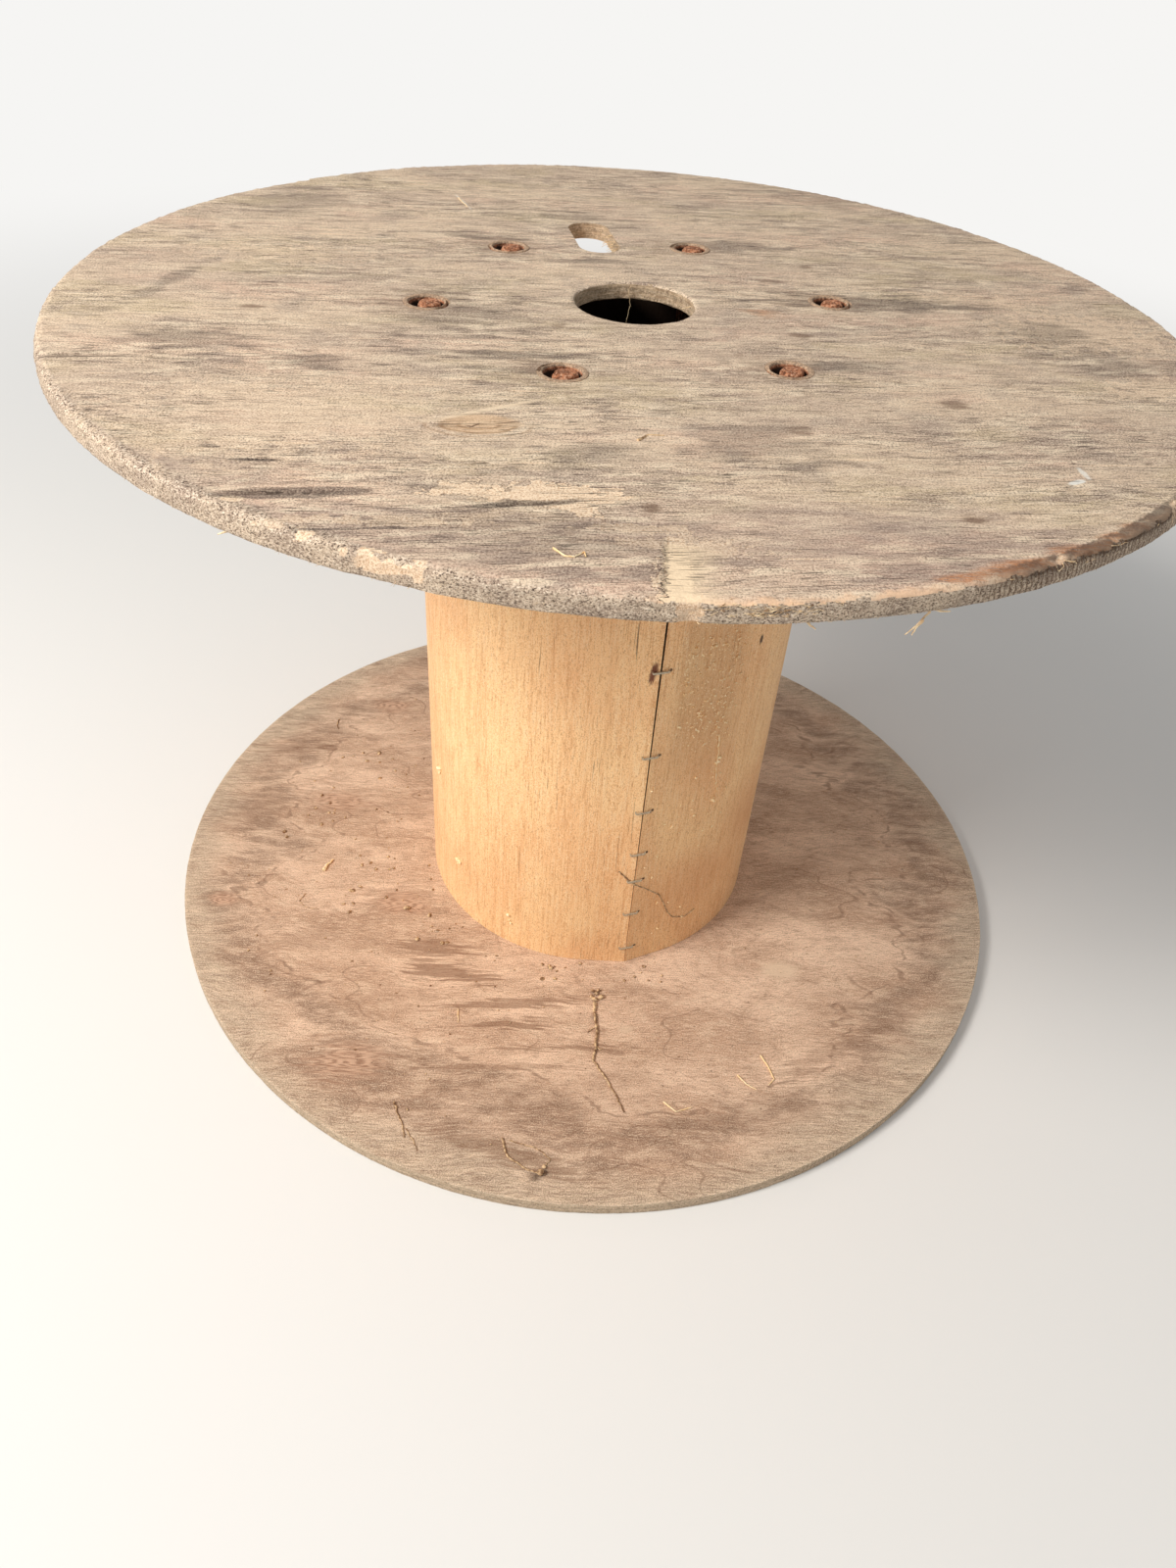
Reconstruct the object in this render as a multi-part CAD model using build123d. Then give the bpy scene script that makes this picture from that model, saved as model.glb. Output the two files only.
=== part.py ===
from build123d import *
from math import cos, radians, tan
import os

# A cable drum of plywood, standing on one flange, in millimetres and degrees.
# Its axis is Z, the origin is the centre of the underside, and the seam of the barrel faces the front.

# Flanges
flange_diameter = 760.0
flange_thickness = 12.0
inside_width = 502.0
spindle_hole_diameter = 82.0
worn_arris_radius = 4.5
sawn_arris = 1.0
spindle_hole_arris = 1.2

# Cable slot through the top flange, where the inner end of the cable comes out
slot_width = 32.0
slot_inner_centre_radius = 126.0
slot_outer_centre_radius = 173.0
slot_angle = 104.0
slot_arris = 0.8

# Barrel, a thin sheet wrapped round the tie rods
barrel_diameter = 299.0
barrel_sheet_thickness = 3.0
seam_angle = -74.5
seam_spring_angle = 12.5
seam_gap_at_foot = 0.5
seam_gap_at_head = 2.2

# Lath behind the seam
batten_width = 24.0
batten_depth = 14.0

# Tie rods and their hexagon nuts
rod_count = 6
rod_first_angle = 14.0
rod_diameter = 10.0
rod_gap_inside_barrel = 0.5
rod_hole_clearance = 0.5
rod_end_below_nut_face = 0.5
rod_end_chamfer = 1.0
nut_across_flats = 17.0
nut_height = 8.0
nut_corner_chamfer = 1.0
thread_clearance = 0.05

# Dished washers
washer_sheet_thickness = 1.5
washer_lip_diameter = 31.0
washer_mouth_diameter = 26.0
washer_floor_diameter = 21.6
washer_depth = 7.5
washer_mouth_bevel = 0.8
washer_floor_bevel = 1.2
washer_lip_above_top_face = 0.5
washer_lip_inside_underside = 0.7
washer_seat_clearance = 0.1

# Seam staples
staple_crown_width = 13.0
staple_wire_height = 1.3
staple_wire_thickness = 1.1
staple_leg_length = 12.0
staple_corner_radius = 1.6
staple_tilt = 5.0
staple_hole_clearance = 0.1
staple_crown_lift = 0.1
staples_above_foot = (19.0, 63.0, 103.0, 134.0, 180.0, 236.0)
staples_below_head = (188.0, 112.0, 38.0)

# Sizes that follow from the ones above
flange_radius = flange_diameter / 2
top_flange_underside = flange_thickness + inside_width
drum_height = top_flange_underside + flange_thickness
barrel_radius = barrel_diameter / 2
barrel_inner_radius = barrel_radius - barrel_sheet_thickness
seam_ridge_radius = barrel_radius / cos(radians(seam_spring_angle))
seam_ridge_inner_radius = barrel_inner_radius / cos(radians(seam_spring_angle))
rod_radius = rod_diameter / 2
rod_hole_radius = rod_radius + rod_hole_clearance
rod_circle_radius = barrel_inner_radius - rod_gap_inside_barrel - rod_radius
washer_full_depth = washer_depth + washer_sheet_thickness
top_lip_height = drum_height + washer_lip_above_top_face
bottom_lip_height = washer_lip_inside_underside
top_nut_seat = top_lip_height - washer_depth
bottom_nut_seat = bottom_lip_height + washer_depth
rod_top = top_nut_seat + nut_height - rod_end_below_nut_face
rod_bottom = bottom_nut_seat - nut_height + rod_end_below_nut_face
staple_crown_underside = seam_ridge_radius + staple_crown_lift

upside_down = Rot(180, 0, 0)


def around_rods(shape):
    """Copies of a shape on the axis of each tie rod."""
    turns = [rod_first_angle + 360 * step / rod_count for step in range(rod_count)]
    return [Rot(0, 0, turn) * Pos(rod_circle_radius, 0, 0) * shape for turn in turns]


# Dished washer
# It is pressed from sheet: a flat lip, a sloping wall and a flat floor with the rod hole.
# It is drawn with its lip at height 0 and its dish hanging down.


def washer_blank():
    lip = washer_lip_diameter / 2
    mouth = washer_mouth_diameter / 2
    floor = washer_floor_diameter / 2
    sheet = washer_sheet_thickness
    section = make_face(
        Polyline(
            (lip, 0),
            (mouth, 0),
            (floor, -washer_depth),
            (rod_hole_radius, -washer_depth),
            (rod_hole_radius, -washer_full_depth),
            (floor + sheet, -washer_full_depth),
            (mouth + sheet, -sheet),
            (lip, -sheet),
            close=True,
        )
    )
    mouth_corner = section.vertices().sort_by_distance(Vector(mouth, 0, 0))[0]
    section = chamfer(mouth_corner, washer_mouth_bevel)
    floor_corner = section.vertices().sort_by_distance(Vector(floor, -washer_depth, 0))[0]
    section = chamfer(floor_corner, washer_floor_bevel)
    return revolve(Plane.XZ * section, Axis.Z)


def washer_seat():
    """The hollow that a washer fits, up to well above its lip, with the rod hole left out."""
    clearance = washer_seat_clearance
    sheet = washer_sheet_thickness
    lip = washer_lip_diameter / 2 + clearance
    mouth = washer_mouth_diameter / 2 + sheet + clearance
    floor = washer_floor_diameter / 2 + sheet + clearance
    section = make_face(
        Polyline(
            (0, flange_thickness),
            (lip, flange_thickness),
            (lip, -sheet),
            (mouth, -sheet),
            (floor, -washer_full_depth),
            (0, -washer_full_depth),
            close=True,
        )
    )
    return revolve(Plane.XZ * section, Axis.Z)


# Flanges


def flange_blank(worn_radius):
    """A sawn disc with its spindle hole, standing on height 0; a worn one has a round top arris."""
    hole_radius = spindle_hole_diameter / 2
    section = make_face(
        Polyline(
            (hole_radius, 0),
            (flange_radius, 0),
            (flange_radius, flange_thickness),
            (hole_radius, flange_thickness),
            close=True,
        )
    )
    section = chamfer(section.vertices().group_by(Axis.X)[0], spindle_hole_arris)
    rim_bottom, rim_top = section.vertices().group_by(Axis.X)[-1].sort_by(Axis.Y)
    if worn_radius:
        section = fillet(rim_top, worn_radius)
        rim_bottom = section.vertices().sort_by_distance(Vector(flange_radius, 0, 0))[0]
        section = chamfer(rim_bottom, sawn_arris)
    else:
        section = chamfer([rim_bottom, rim_top], sawn_arris)
    return revolve(Plane.XZ * section, Axis.Z)


def rod_holes():
    return around_rods(extrude(Circle(rod_hole_radius), flange_thickness))


def cable_slot():
    slot_length = slot_outer_centre_radius - slot_inner_centre_radius
    slot_middle = (slot_outer_centre_radius + slot_inner_centre_radius) / 2
    place = Rot(0, 0, slot_angle) * Pos(slot_middle, 0)
    outline = SlotCenterToCenter(slot_length, slot_width)
    mouth = SlotCenterToCenter(slot_length, slot_width + 2 * slot_arris)
    cut = extrude(outline, flange_thickness)
    bevel = loft([Pos(0, 0, flange_thickness - slot_arris) * outline, Pos(0, 0, flange_thickness) * mouth])
    return place * (cut + bevel)


def make_top_flange():
    flange = flange_blank(worn_arris_radius)
    flange -= rod_holes()
    flange -= cable_slot()
    seat = Pos(0, 0, flange_thickness + washer_lip_above_top_face) * washer_seat()
    flange -= around_rods(seat)
    return Pos(0, 0, top_flange_underside) * flange


def make_bottom_flange():
    flange = flange_blank(0)
    flange -= rod_holes()
    seat = Pos(0, 0, washer_lip_inside_underside) * upside_down * washer_seat()
    flange -= around_rods(seat)
    return flange


# Tie rods, washers and nuts


def make_tie_rods():
    rod = extrude(Circle(rod_radius), rod_top - rod_bottom)
    rod = chamfer(rod.edges().filter_by(GeomType.CIRCLE), rod_end_chamfer)
    return Compound(around_rods(Pos(0, 0, rod_bottom) * rod))


def make_top_washers():
    return Compound(around_rods(Pos(0, 0, top_lip_height) * washer_blank()))


def make_bottom_washers():
    return Compound(around_rods(Pos(0, 0, bottom_lip_height) * upside_down * washer_blank()))


def hexagon_nut():
    """A hexagon nut with turned corners, standing on height 0."""
    flats = nut_across_flats / 2
    corner = flats / cos(radians(30))
    body = extrude(RegularPolygon(flats, 6, major_radius=False), nut_height)
    turned = make_face(
        Polyline(
            (0, 0),
            (corner - nut_corner_chamfer, 0),
            (corner, nut_corner_chamfer * tan(radians(30))),
            (corner, nut_height - nut_corner_chamfer * tan(radians(30))),
            (corner - nut_corner_chamfer, nut_height),
            (0, nut_height),
            close=True,
        )
    )
    body = body & revolve(Plane.XZ * turned, Axis.Z)
    return body - extrude(Circle(rod_radius + thread_clearance), nut_height)


def make_top_nuts():
    return Compound(around_rods(Pos(0, 0, top_nut_seat) * hexagon_nut()))


def make_bottom_nuts():
    return Compound(around_rods(Pos(0, 0, bottom_nut_seat - nut_height) * hexagon_nut()))


# Barrel
# The sheet is a round tube, but its two free edges spring straight and meet in a low ridge.
# Shapes by the seam are drawn with the seam on the X axis and turned into place.


def sheet_outline(face_radius, ridge_radius):
    """The closed outline of one face of the sheet: a long arc and two straight edges to the ridge."""
    spring = Vector(face_radius, 0).rotate(Axis.Z, seam_spring_angle)
    mirrored = Vector(spring.X, -spring.Y)
    ridge = (ridge_radius, 0)
    arc = ThreePointArc(spring, (-face_radius, 0), mirrored)
    return make_face([Line(ridge, spring), arc, Line(mirrored, ridge)])


def seam_gap():
    """The open seam, a narrow wedge that widens upwards."""
    foot = seam_gap_at_foot / 2
    head = seam_gap_at_head / 2
    wedge = Polyline((-foot, 0), (foot, 0), (head, inside_width), (-head, inside_width), close=True)
    return extrude(Plane.YZ * make_face(wedge), seam_ridge_radius + barrel_sheet_thickness)


def seam_batten_blank():
    """A lath whose outer face is planed to the two slopes of the sheet."""
    half = batten_width / 2
    shoulder = seam_ridge_inner_radius - half * tan(radians(seam_spring_angle))
    back = seam_ridge_inner_radius - batten_depth
    section = make_face(
        Polyline(
            (back, -half),
            (shoulder, -half),
            (seam_ridge_inner_radius, 0),
            (shoulder, half),
            (back, half),
            close=True,
        )
    )
    return extrude(section, inside_width)


def staple(clearance):
    """One staple on the X axis, crown outward, grown all round by the clearance."""
    crown = staple_crown_underside + staple_wire_thickness + clearance
    tips = staple_crown_underside - staple_leg_length - clearance
    half = staple_crown_width / 2 + clearance
    wire = staple_wire_thickness + 2 * clearance
    height = staple_wire_height + 2 * clearance
    outer = Pos((crown + tips) / 2, 0) * Rectangle(crown - tips, 2 * half)
    shoulders = outer.vertices().group_by(Axis.X)[-1]
    outer = fillet(shoulders, staple_corner_radius)
    inner_crown = crown - wire
    inner = Pos((inner_crown + tips) / 2, 0) * Rectangle(inner_crown - tips, 2 * (half - wire))
    section = outer - inner
    bar = Pos(0, 0, -height / 2) * extrude(section, height)
    return Rot(staple_tilt, 0, 0) * bar


def staples(clearance):
    """The row of staples along the seam, with the foot of the barrel at height 0."""
    heights = list(staples_above_foot)
    heights += [inside_width - drop for drop in staples_below_head]
    return [Pos(0, 0, height) * staple(clearance) for height in heights]


def place_at_seam(shape):
    return Pos(0, 0, flange_thickness) * Rot(0, 0, seam_angle) * shape


def make_barrel():
    sheet = extrude(sheet_outline(barrel_radius, seam_ridge_radius), inside_width)
    sheet -= extrude(sheet_outline(barrel_inner_radius, seam_ridge_inner_radius), inside_width)
    sheet -= seam_gap()
    sheet -= staples(staple_hole_clearance)
    return place_at_seam(sheet)


def make_seam_batten():
    return place_at_seam(seam_batten_blank() - staples(staple_hole_clearance))


def make_seam_staples():
    return place_at_seam(Compound(staples(0)))


pieces = {
    "top_flange": make_top_flange(),
    "bottom_flange": make_bottom_flange(),
    "barrel": make_barrel(),
    "seam_batten": make_seam_batten(),
    "seam_staples": make_seam_staples(),
    "tie_rods": make_tie_rods(),
    "top_washers": make_top_washers(),
    "bottom_washers": make_bottom_washers(),
    "top_nuts": make_top_nuts(),
    "bottom_nuts": make_bottom_nuts(),
}

os.makedirs("parts", exist_ok=True)
for name, piece in pieces.items():
    export_step(piece, f"parts/{name}.step")
    print(name, "volume", round(piece.volume / 1000, 1), "cm3")
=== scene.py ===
# %% [markdown]
# # A weathered cable drum
#
# The drum is two round plywood flanges held apart by a thin plywood barrel and clamped by six
# tie rods. Its sizes come from the CAD frame, so this script only adds what the years did to it:
# raised grain, worn rims, stains, rust, splinters and dirt.

# %% Load the CAD frame
import math
import random

import bmesh
import bpy
from mathutils import Matrix, Vector, noise


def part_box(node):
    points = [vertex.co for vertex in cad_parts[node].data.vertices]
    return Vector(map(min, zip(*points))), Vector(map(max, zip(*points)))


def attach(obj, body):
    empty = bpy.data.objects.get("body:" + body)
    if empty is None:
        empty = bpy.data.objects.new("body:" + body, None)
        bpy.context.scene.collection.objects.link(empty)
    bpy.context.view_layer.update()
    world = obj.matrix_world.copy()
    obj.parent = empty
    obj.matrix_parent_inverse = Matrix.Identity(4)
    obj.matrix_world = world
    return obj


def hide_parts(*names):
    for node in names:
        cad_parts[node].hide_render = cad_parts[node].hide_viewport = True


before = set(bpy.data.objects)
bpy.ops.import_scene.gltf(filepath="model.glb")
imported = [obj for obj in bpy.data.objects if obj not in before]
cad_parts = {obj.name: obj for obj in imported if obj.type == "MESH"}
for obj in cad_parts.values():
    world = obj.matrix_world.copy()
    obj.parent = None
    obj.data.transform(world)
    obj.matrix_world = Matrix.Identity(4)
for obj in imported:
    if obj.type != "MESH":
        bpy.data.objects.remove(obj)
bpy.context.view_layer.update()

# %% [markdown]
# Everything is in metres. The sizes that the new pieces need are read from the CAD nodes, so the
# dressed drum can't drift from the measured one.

MM = 0.001
top_low, top_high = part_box("top_flange")
flange_radius = top_high.x
top_face = top_high.z
top_underside = top_low.z
bottom_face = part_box("bottom_flange")[1].z
print("flange radius", round(flange_radius, 4), "top face at", round(top_face, 4))

# %% [markdown]
# ## Camera
# The camera stands where the photograph was taken from: in front of the drum and above it, tilted
# down about forty degrees. A short lens gives the strong perspective that makes the top flange
# look so much wider than the bottom one.

# %% Camera
camera_place = Vector((0.0, -0.7855, 0.7754))
looking_along = Vector((-0.00469, 0.75227, -0.65884))
picture_right = Vector((0.99628, 0.06022, 0.06167))
lens_mm = 25.45

picture_up = picture_right.cross(looking_along).normalized()
camera_turn = Matrix((picture_right, picture_up, -looking_along)).transposed()
lens = bpy.data.cameras.new("camera")
lens.lens = lens_mm
lens.sensor_width = 36.0
lens.clip_start = 0.01
lens.clip_end = 60.0
camera = bpy.data.objects.new("camera", lens)
camera.matrix_world = Matrix.Translation(camera_place) @ camera_turn.to_4x4()
bpy.context.scene.collection.objects.link(camera)
bpy.context.scene.camera = camera
print("camera tilts down", round(math.degrees(math.asin(-looking_along.z)), 1), "degrees")

# %% [markdown]
# ## Light
# A large soft lamp stands at the front left, where the sun was, so the left of the barrel is
# bright and the right of its seam falls into shade. A weaker one fills in from the right. The
# world adds an even light from all sides, and shows a near white to the camera.

# %% Lamps and world
def soft_lamp(name, place, size, power, lamp_colour):
    """A square lamp at place, turned to the middle of the drum."""
    lamp = bpy.data.lights.new(name, "AREA")
    lamp.shape = "SQUARE"
    lamp.size = size
    lamp.energy = power
    lamp.color = lamp_colour
    made = bpy.data.objects.new(name, lamp)
    aim = (Vector((0, 0, 0.3)) - Vector(place)).to_track_quat("-Z", "Y")
    made.matrix_world = Matrix.Translation(place) @ aim.to_matrix().to_4x4()
    bpy.context.scene.collection.objects.link(made)


soft_lamp("key_lamp", (-1.85, -1.2, 2.02), 0.9, 76.0, (1.0, 0.97, 0.93))
soft_lamp("fill_lamp", (2.0, -1.2, 1.5), 1.8, 4.0, (0.94, 0.97, 1.0))

world = bpy.data.worlds.new("studio")
bpy.context.scene.world = world
world.use_nodes = True
world_tree = world.node_tree
world_tree.nodes.clear()
even_light = world_tree.nodes.new("ShaderNodeBackground")
even_light.inputs["Color"].default_value = (1.0, 1.0, 1.0, 1.0)
even_light.inputs["Strength"].default_value = 0.4
white_backdrop = world_tree.nodes.new("ShaderNodeBackground")
white_backdrop.inputs["Strength"].default_value = 0.92
seen_directly = world_tree.nodes.new("ShaderNodeLightPath")
pick_backdrop = world_tree.nodes.new("ShaderNodeMixShader")
world_out = world_tree.nodes.new("ShaderNodeOutputWorld")
world_tree.links.new(seen_directly.outputs["Is Camera Ray"], pick_backdrop.inputs[0])
world_tree.links.new(even_light.outputs[0], pick_backdrop.inputs[1])
world_tree.links.new(white_backdrop.outputs[0], pick_backdrop.inputs[2])
world_tree.links.new(pick_backdrop.outputs[0], world_out.inputs[0])
bpy.context.scene.view_settings.view_transform = "Standard"

# %% [markdown]
# ## Wiring helpers
# A procedural finish is a small circuit of nodes. What a node puts out is held as a wire, and
# wires can be added and multiplied like numbers, each sum adding one maths node. The helpers
# below add one or a few nodes each, so a finish reads as a recipe: grain, stains, dirt, then
# bump.

# %% Wires
class Wire:
    """One output of a node, with plain arithmetic."""

    def __init__(self, socket):
        self.socket = socket
        self.tree = socket.id_data

    def __add__(self, other):
        return maths("ADD", self, other)

    def __radd__(self, other):
        return maths("ADD", other, self)

    def __sub__(self, other):
        return maths("SUBTRACT", self, other)

    def __rsub__(self, other):
        return maths("SUBTRACT", other, self)

    def __mul__(self, other):
        return maths("MULTIPLY", self, other)

    def __rmul__(self, other):
        return maths("MULTIPLY", other, self)

    def __truediv__(self, other):
        return maths("DIVIDE", self, other)

    def __rtruediv__(self, other):
        return maths("DIVIDE", other, self)


def outputs(node):
    """All outputs of a node as wires, by number and by name."""
    wires = [Wire(socket) for socket in node.outputs]
    return {**dict(enumerate(wires)), **{wire.socket.name: wire for wire in wires}}


def plug(value, socket):
    """Link a wire into a socket, or set the socket to a plain value."""
    if isinstance(value, Wire):
        value.tree.links.new(value.socket, socket)
    else:
        socket.default_value = value


def add_node(kind, feeds, tree=None, **settings):
    """A new node in the tree of the wires that feed it; hands back its outputs."""
    if tree is None:
        tree = next(value.tree for value in feeds.values() if isinstance(value, Wire))
    made = tree.nodes.new(kind)
    for key, value in settings.items():
        setattr(made, key, value)
    for socket, value in feeds.items():
        plug(value, made.inputs[socket])
    return outputs(made)


# %% Node helpers
def colour(red, green, blue):
    """A colour written as 0 to 255, as the shader wants it."""
    def linear(channel):
        share = channel / 255
        return share / 12.92 if share <= 0.04045 else ((share + 0.055) / 1.055) ** 2.4
    return (linear(red), linear(green), linear(blue), 1.0)


def maths(operation, first, second=0.0, clamp=False):
    feeds = {0: first, 1: second}
    return add_node("ShaderNodeMath", feeds, operation=operation, use_clamp=clamp)[0]


def vectors(operation, first, second):
    return add_node("ShaderNodeVectorMath", {0: first, 1: second}, operation=operation)[0]


def length_of(vector):
    return add_node("ShaderNodeVectorMath", {0: vector}, operation="LENGTH")["Value"]


def sides_of(vector):
    return add_node("ShaderNodeSeparateXYZ", {0: vector})


def join(**sides):
    return add_node("ShaderNodeCombineXYZ", sides)[0]


def turn_about_z(vector, angle):
    feeds = {"Vector": vector, "Angle": angle}
    return add_node("ShaderNodeVectorRotate", feeds, rotation_type="Z_AXIS")[0]


def fade(value, start, stop, low=0.0, high=1.0):
    """A smooth step: low where value is at start, high where it is at stop."""
    feeds = {"Value": value, "From Min": start, "From Max": stop, "To Min": low, "To Max": high}
    return add_node("ShaderNodeMapRange", feeds, interpolation_type="SMOOTHSTEP")[0]


def tint(share, base, over):
    """Lay one colour over another by share; a plain over is a colour of 0 to 255."""
    feeds = {0: share, 6: base, 7: over if isinstance(over, Wire) else colour(*over)}
    return add_node("ShaderNodeMix", feeds, data_type="RGBA")[2]


def shade(base, value, start, stop, share, over):
    """Lay a colour over base where value goes from start to stop, at most by share."""
    return tint(fade(value, start, stop, 0.0, share), base, over)


def tones(base, layers):
    """Several shades in turn, each written as value, start, stop, share, over."""
    for layer in layers:
        base = shade(base, *layer)
    return base


def blend(value, start, stop, from_colour, to_colour):
    """From one plain colour to another as value goes from start to stop."""
    return tint(fade(value, start, stop), colour(*from_colour), to_colour)


def speckle(vector, size_mm, detail=3.0, roughness=0.5):
    """Even noise whose patches are about size_mm across."""
    feeds = {"Vector": vector, "Scale": 1 / (size_mm * MM), "Detail": detail, "Roughness": roughness}
    return add_node("ShaderNodeTexNoise", feeds)[0]


def use_group(group, feeds):
    return add_node("ShaderNodeGroup", feeds, node_tree=group)


def new_group(name, input_kinds, output_kinds):
    """An empty node group with named sockets, its inputs as wires, and where its results go."""
    group = bpy.data.node_groups.new(name, "ShaderNodeTree")
    for way, kinds in (("INPUT", input_kinds), ("OUTPUT", output_kinds)):
        for socket, kind in kinds.items():
            group.interface.new_socket(socket, in_out=way, socket_type="NodeSocket" + kind)
    given = outputs(group.nodes.new("NodeGroupInput"))
    result = group.nodes.new("NodeGroupOutput").inputs
    return group, given, result


# %% [markdown]
# ## Effects that several finishes share
# Wood is fibres, so its colour varies slowly along the grain and quickly across it. One group
# draws noise out along a direction: with other lengths it gives fine fibres, growth bands or
# long drying checks.

# %% Group: fibre streaks
def build_fibre_streaks():
    inputs = {"Vector": "Vector", "Turn": "Float", "Along mm": "Float", "Across mm": "Float",
              "Depth mm": "Float", "Wander mm": "Float", "Detail": "Float", "Shift": "Float"}
    group, given, result = new_group("fibre streaks", inputs, {"Value": "Float"})
    back = given["Turn"] * -1.0
    turned = turn_about_z(given["Vector"], back)
    bend = add_node("ShaderNodeTexNoise", {"Vector": turned, "Scale": 9.0, "Detail": 3.0})[0]
    bend = (bend - 0.5) * given["Wander mm"] * MM
    turned = vectors("ADD", turned, join(Y=bend))
    per_mm = [1 / MM / given[size] for size in ("Along mm", "Across mm", "Depth mm")]
    drawn = vectors("MULTIPLY", turned, join(**dict(zip("XYZ", per_mm))))
    drawn = vectors("ADD", drawn, join(X=given["Shift"], Y=given["Shift"]))
    feeds = {"Vector": drawn, "Scale": 1.0, "Detail": given["Detail"], "Roughness": 0.55}
    plug(add_node("ShaderNodeTexNoise", feeds)[0], result["Value"])
    return group


fibre_streaks = build_fibre_streaks()


def streaks(vector, turn, along, across, wander, detail, depth=40.0, shift=0.0):
    """Noise drawn out by along, across and depth, all in mm, with fibres that wander in mm."""
    feeds = {"Vector": vector, "Turn": turn, "Along mm": along, "Across mm": across,
             "Depth mm": depth, "Wander mm": wander, "Detail": detail, "Shift": shift}
    return use_group(fibre_streaks, feeds)["Value"]


# %% [markdown]
# A mark is an oval patch with a torn outline: a water stain, a rust bloom, a bruise. The group
# measures how far a point lies from the middle of the oval, and noise pushes that distance about
# so that the outline runs out into the fibres.

# %% Group: placed mark
def build_placed_mark():
    inputs = {"Vector": "Vector", "Middle": "Vector", "Length": "Float", "Width": "Float",
              "Turn": "Float", "Ragged": "Float", "Soft": "Float", "Strength": "Float"}
    group, given, result = new_group("placed mark", inputs, {"Mask": "Float", "Distance": "Float"})
    offset = vectors("SUBTRACT", given["Vector"], given["Middle"])
    back = given["Turn"] * -1.0
    turned = turn_about_z(offset, back)
    halves = join(X=2.0 / given["Length"], Y=2.0 / given["Width"])
    oval = length_of(vectors("MULTIPLY", turned, halves))
    ragged = oval + given["Ragged"]
    edge = 1.0 - given["Soft"]
    rim = 1.0 + given["Soft"]
    mask = fade(ragged, rim, edge)
    plug(mask * given["Strength"], result["Mask"])
    plug(ragged, result["Distance"])
    return group


placed_mark = build_placed_mark()


def mark(vector, ragged, place, soft):
    """The wires of one mark; its place is (x, y, length, width, turn, strength), mm and degrees."""
    x, y, length, width, turn, strength = place
    feeds = {"Vector": vector, "Middle": (x * MM, y * MM, 0), "Length": length * MM,
             "Width": width * MM, "Turn": math.radians(turn), "Ragged": ragged,
             "Soft": soft, "Strength": strength}
    return use_group(placed_mark, feeds)


def marks(vector, ragged, places, soft):
    """The strongest of several marks at every point."""
    strongest = 0.0
    for place in places:
        strongest = maths("MAXIMUM", strongest, mark(vector, ragged, place, soft)["Mask"])
    return strongest


# %% [markdown]
# Where rolling wore the rim, the fibres matted into grey felt that runs on over the corner. Both
# the face and the edge need it, and as it is drawn in the round the two meet with no line.

# %% Group: grey felt
def build_grey_felt():
    group, given, result = new_group("grey felt", {"Vector": "Vector"},
                                     {"Colour": "Color", "Height": "Float"})
    place = vectors("MULTIPLY", given["Vector"], (1, 1, 1.6))
    tufts = speckle(place, 24, 5, 0.6)
    hairs = speckle(place, 2.6, 5, 0.78)
    dots = speckle(place, 1.1, 2, 0.7)
    wood = blend(tufts, 0.36, 0.62, (184, 161, 142), (214, 190, 165))
    wood = tones(wood, [
        (hairs, 0.51, 0.6, 0.5, (242, 224, 200)),
        (hairs, 0.49, 0.39, 0.5, (124, 104, 90)),
        (dots, 0.48, 0.36, 1.0, (72, 58, 50)),
        (dots, 0.54, 0.66, 0.8, (252, 236, 214))])
    plug(wood, result["Colour"])
    plug(hairs + dots * 0.5, result["Height"])
    return group


grey_felt = build_grey_felt()


# %% [markdown]
# The marks on a flange are placed on its plan, so the finish looks them up without the height.

# %% Marks seen from above
def flat_place(vector):
    """The same place with its height left out, so that marks fall straight down on a face."""
    return vectors("MULTIPLY", vector, (1, 1, 0))


# %% [markdown]
# Every finish ends the same way: one Principled BSDF with the colour, the roughness and a bump
# made from a height in millimetres.

# %% Start and end of a finish
def start_finish(name):
    material = bpy.data.materials.new(name)
    material.use_nodes = True
    material.node_tree.nodes.clear()
    tree = material.node_tree
    place = outputs(tree.nodes.new("ShaderNodeTexCoord"))["Object"]
    return material, tree, place


def end_finish(tree, base, roughness, height=None, depth_mm=0.3, metallic=0.0, specular=0.5):
    shader = tree.nodes.new("ShaderNodeBsdfPrincipled")
    shader.inputs["Specular IOR Level"].default_value = specular
    plug(base, shader.inputs["Base Color"])
    plug(roughness, shader.inputs["Roughness"])
    plug(metallic, shader.inputs["Metallic"])
    if height is not None:
        feeds = {"Height": height, "Distance": depth_mm * MM, "Strength": 1.0}
        plug(add_node("ShaderNodeBump", feeds)[0], shader.inputs["Normal"])
    out = tree.nodes.new("ShaderNodeOutputMaterial")
    plug(outputs(shader)[0], out.inputs["Surface"])


def attribute(tree, name):
    return add_node("ShaderNodeAttribute", {}, tree, attribute_name=name)["Fac"]


# %% [markdown]
# ## Finish: weathered face of the top flange
# Rain and sun took the soft wood away and left grey ridges with cream torn fibres between them.
# Ragged clouds of fibre carry most of the look, each drawn out along the grain at its own size.
# Over them lie sparse dark checks, the stains by the washers, one large knot, small brown spots
# and a dried white splash.

# %% Weathered face
rod_circle = 141 * MM
rod_turns = [math.radians(14 + 60 * step) for step in range(6)]
rod_places = [(rod_circle / MM * math.cos(turn), rod_circle / MM * math.sin(turn))
              for turn in rod_turns]
top_grain = math.radians(10)
veneer_end = 23.0

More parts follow.
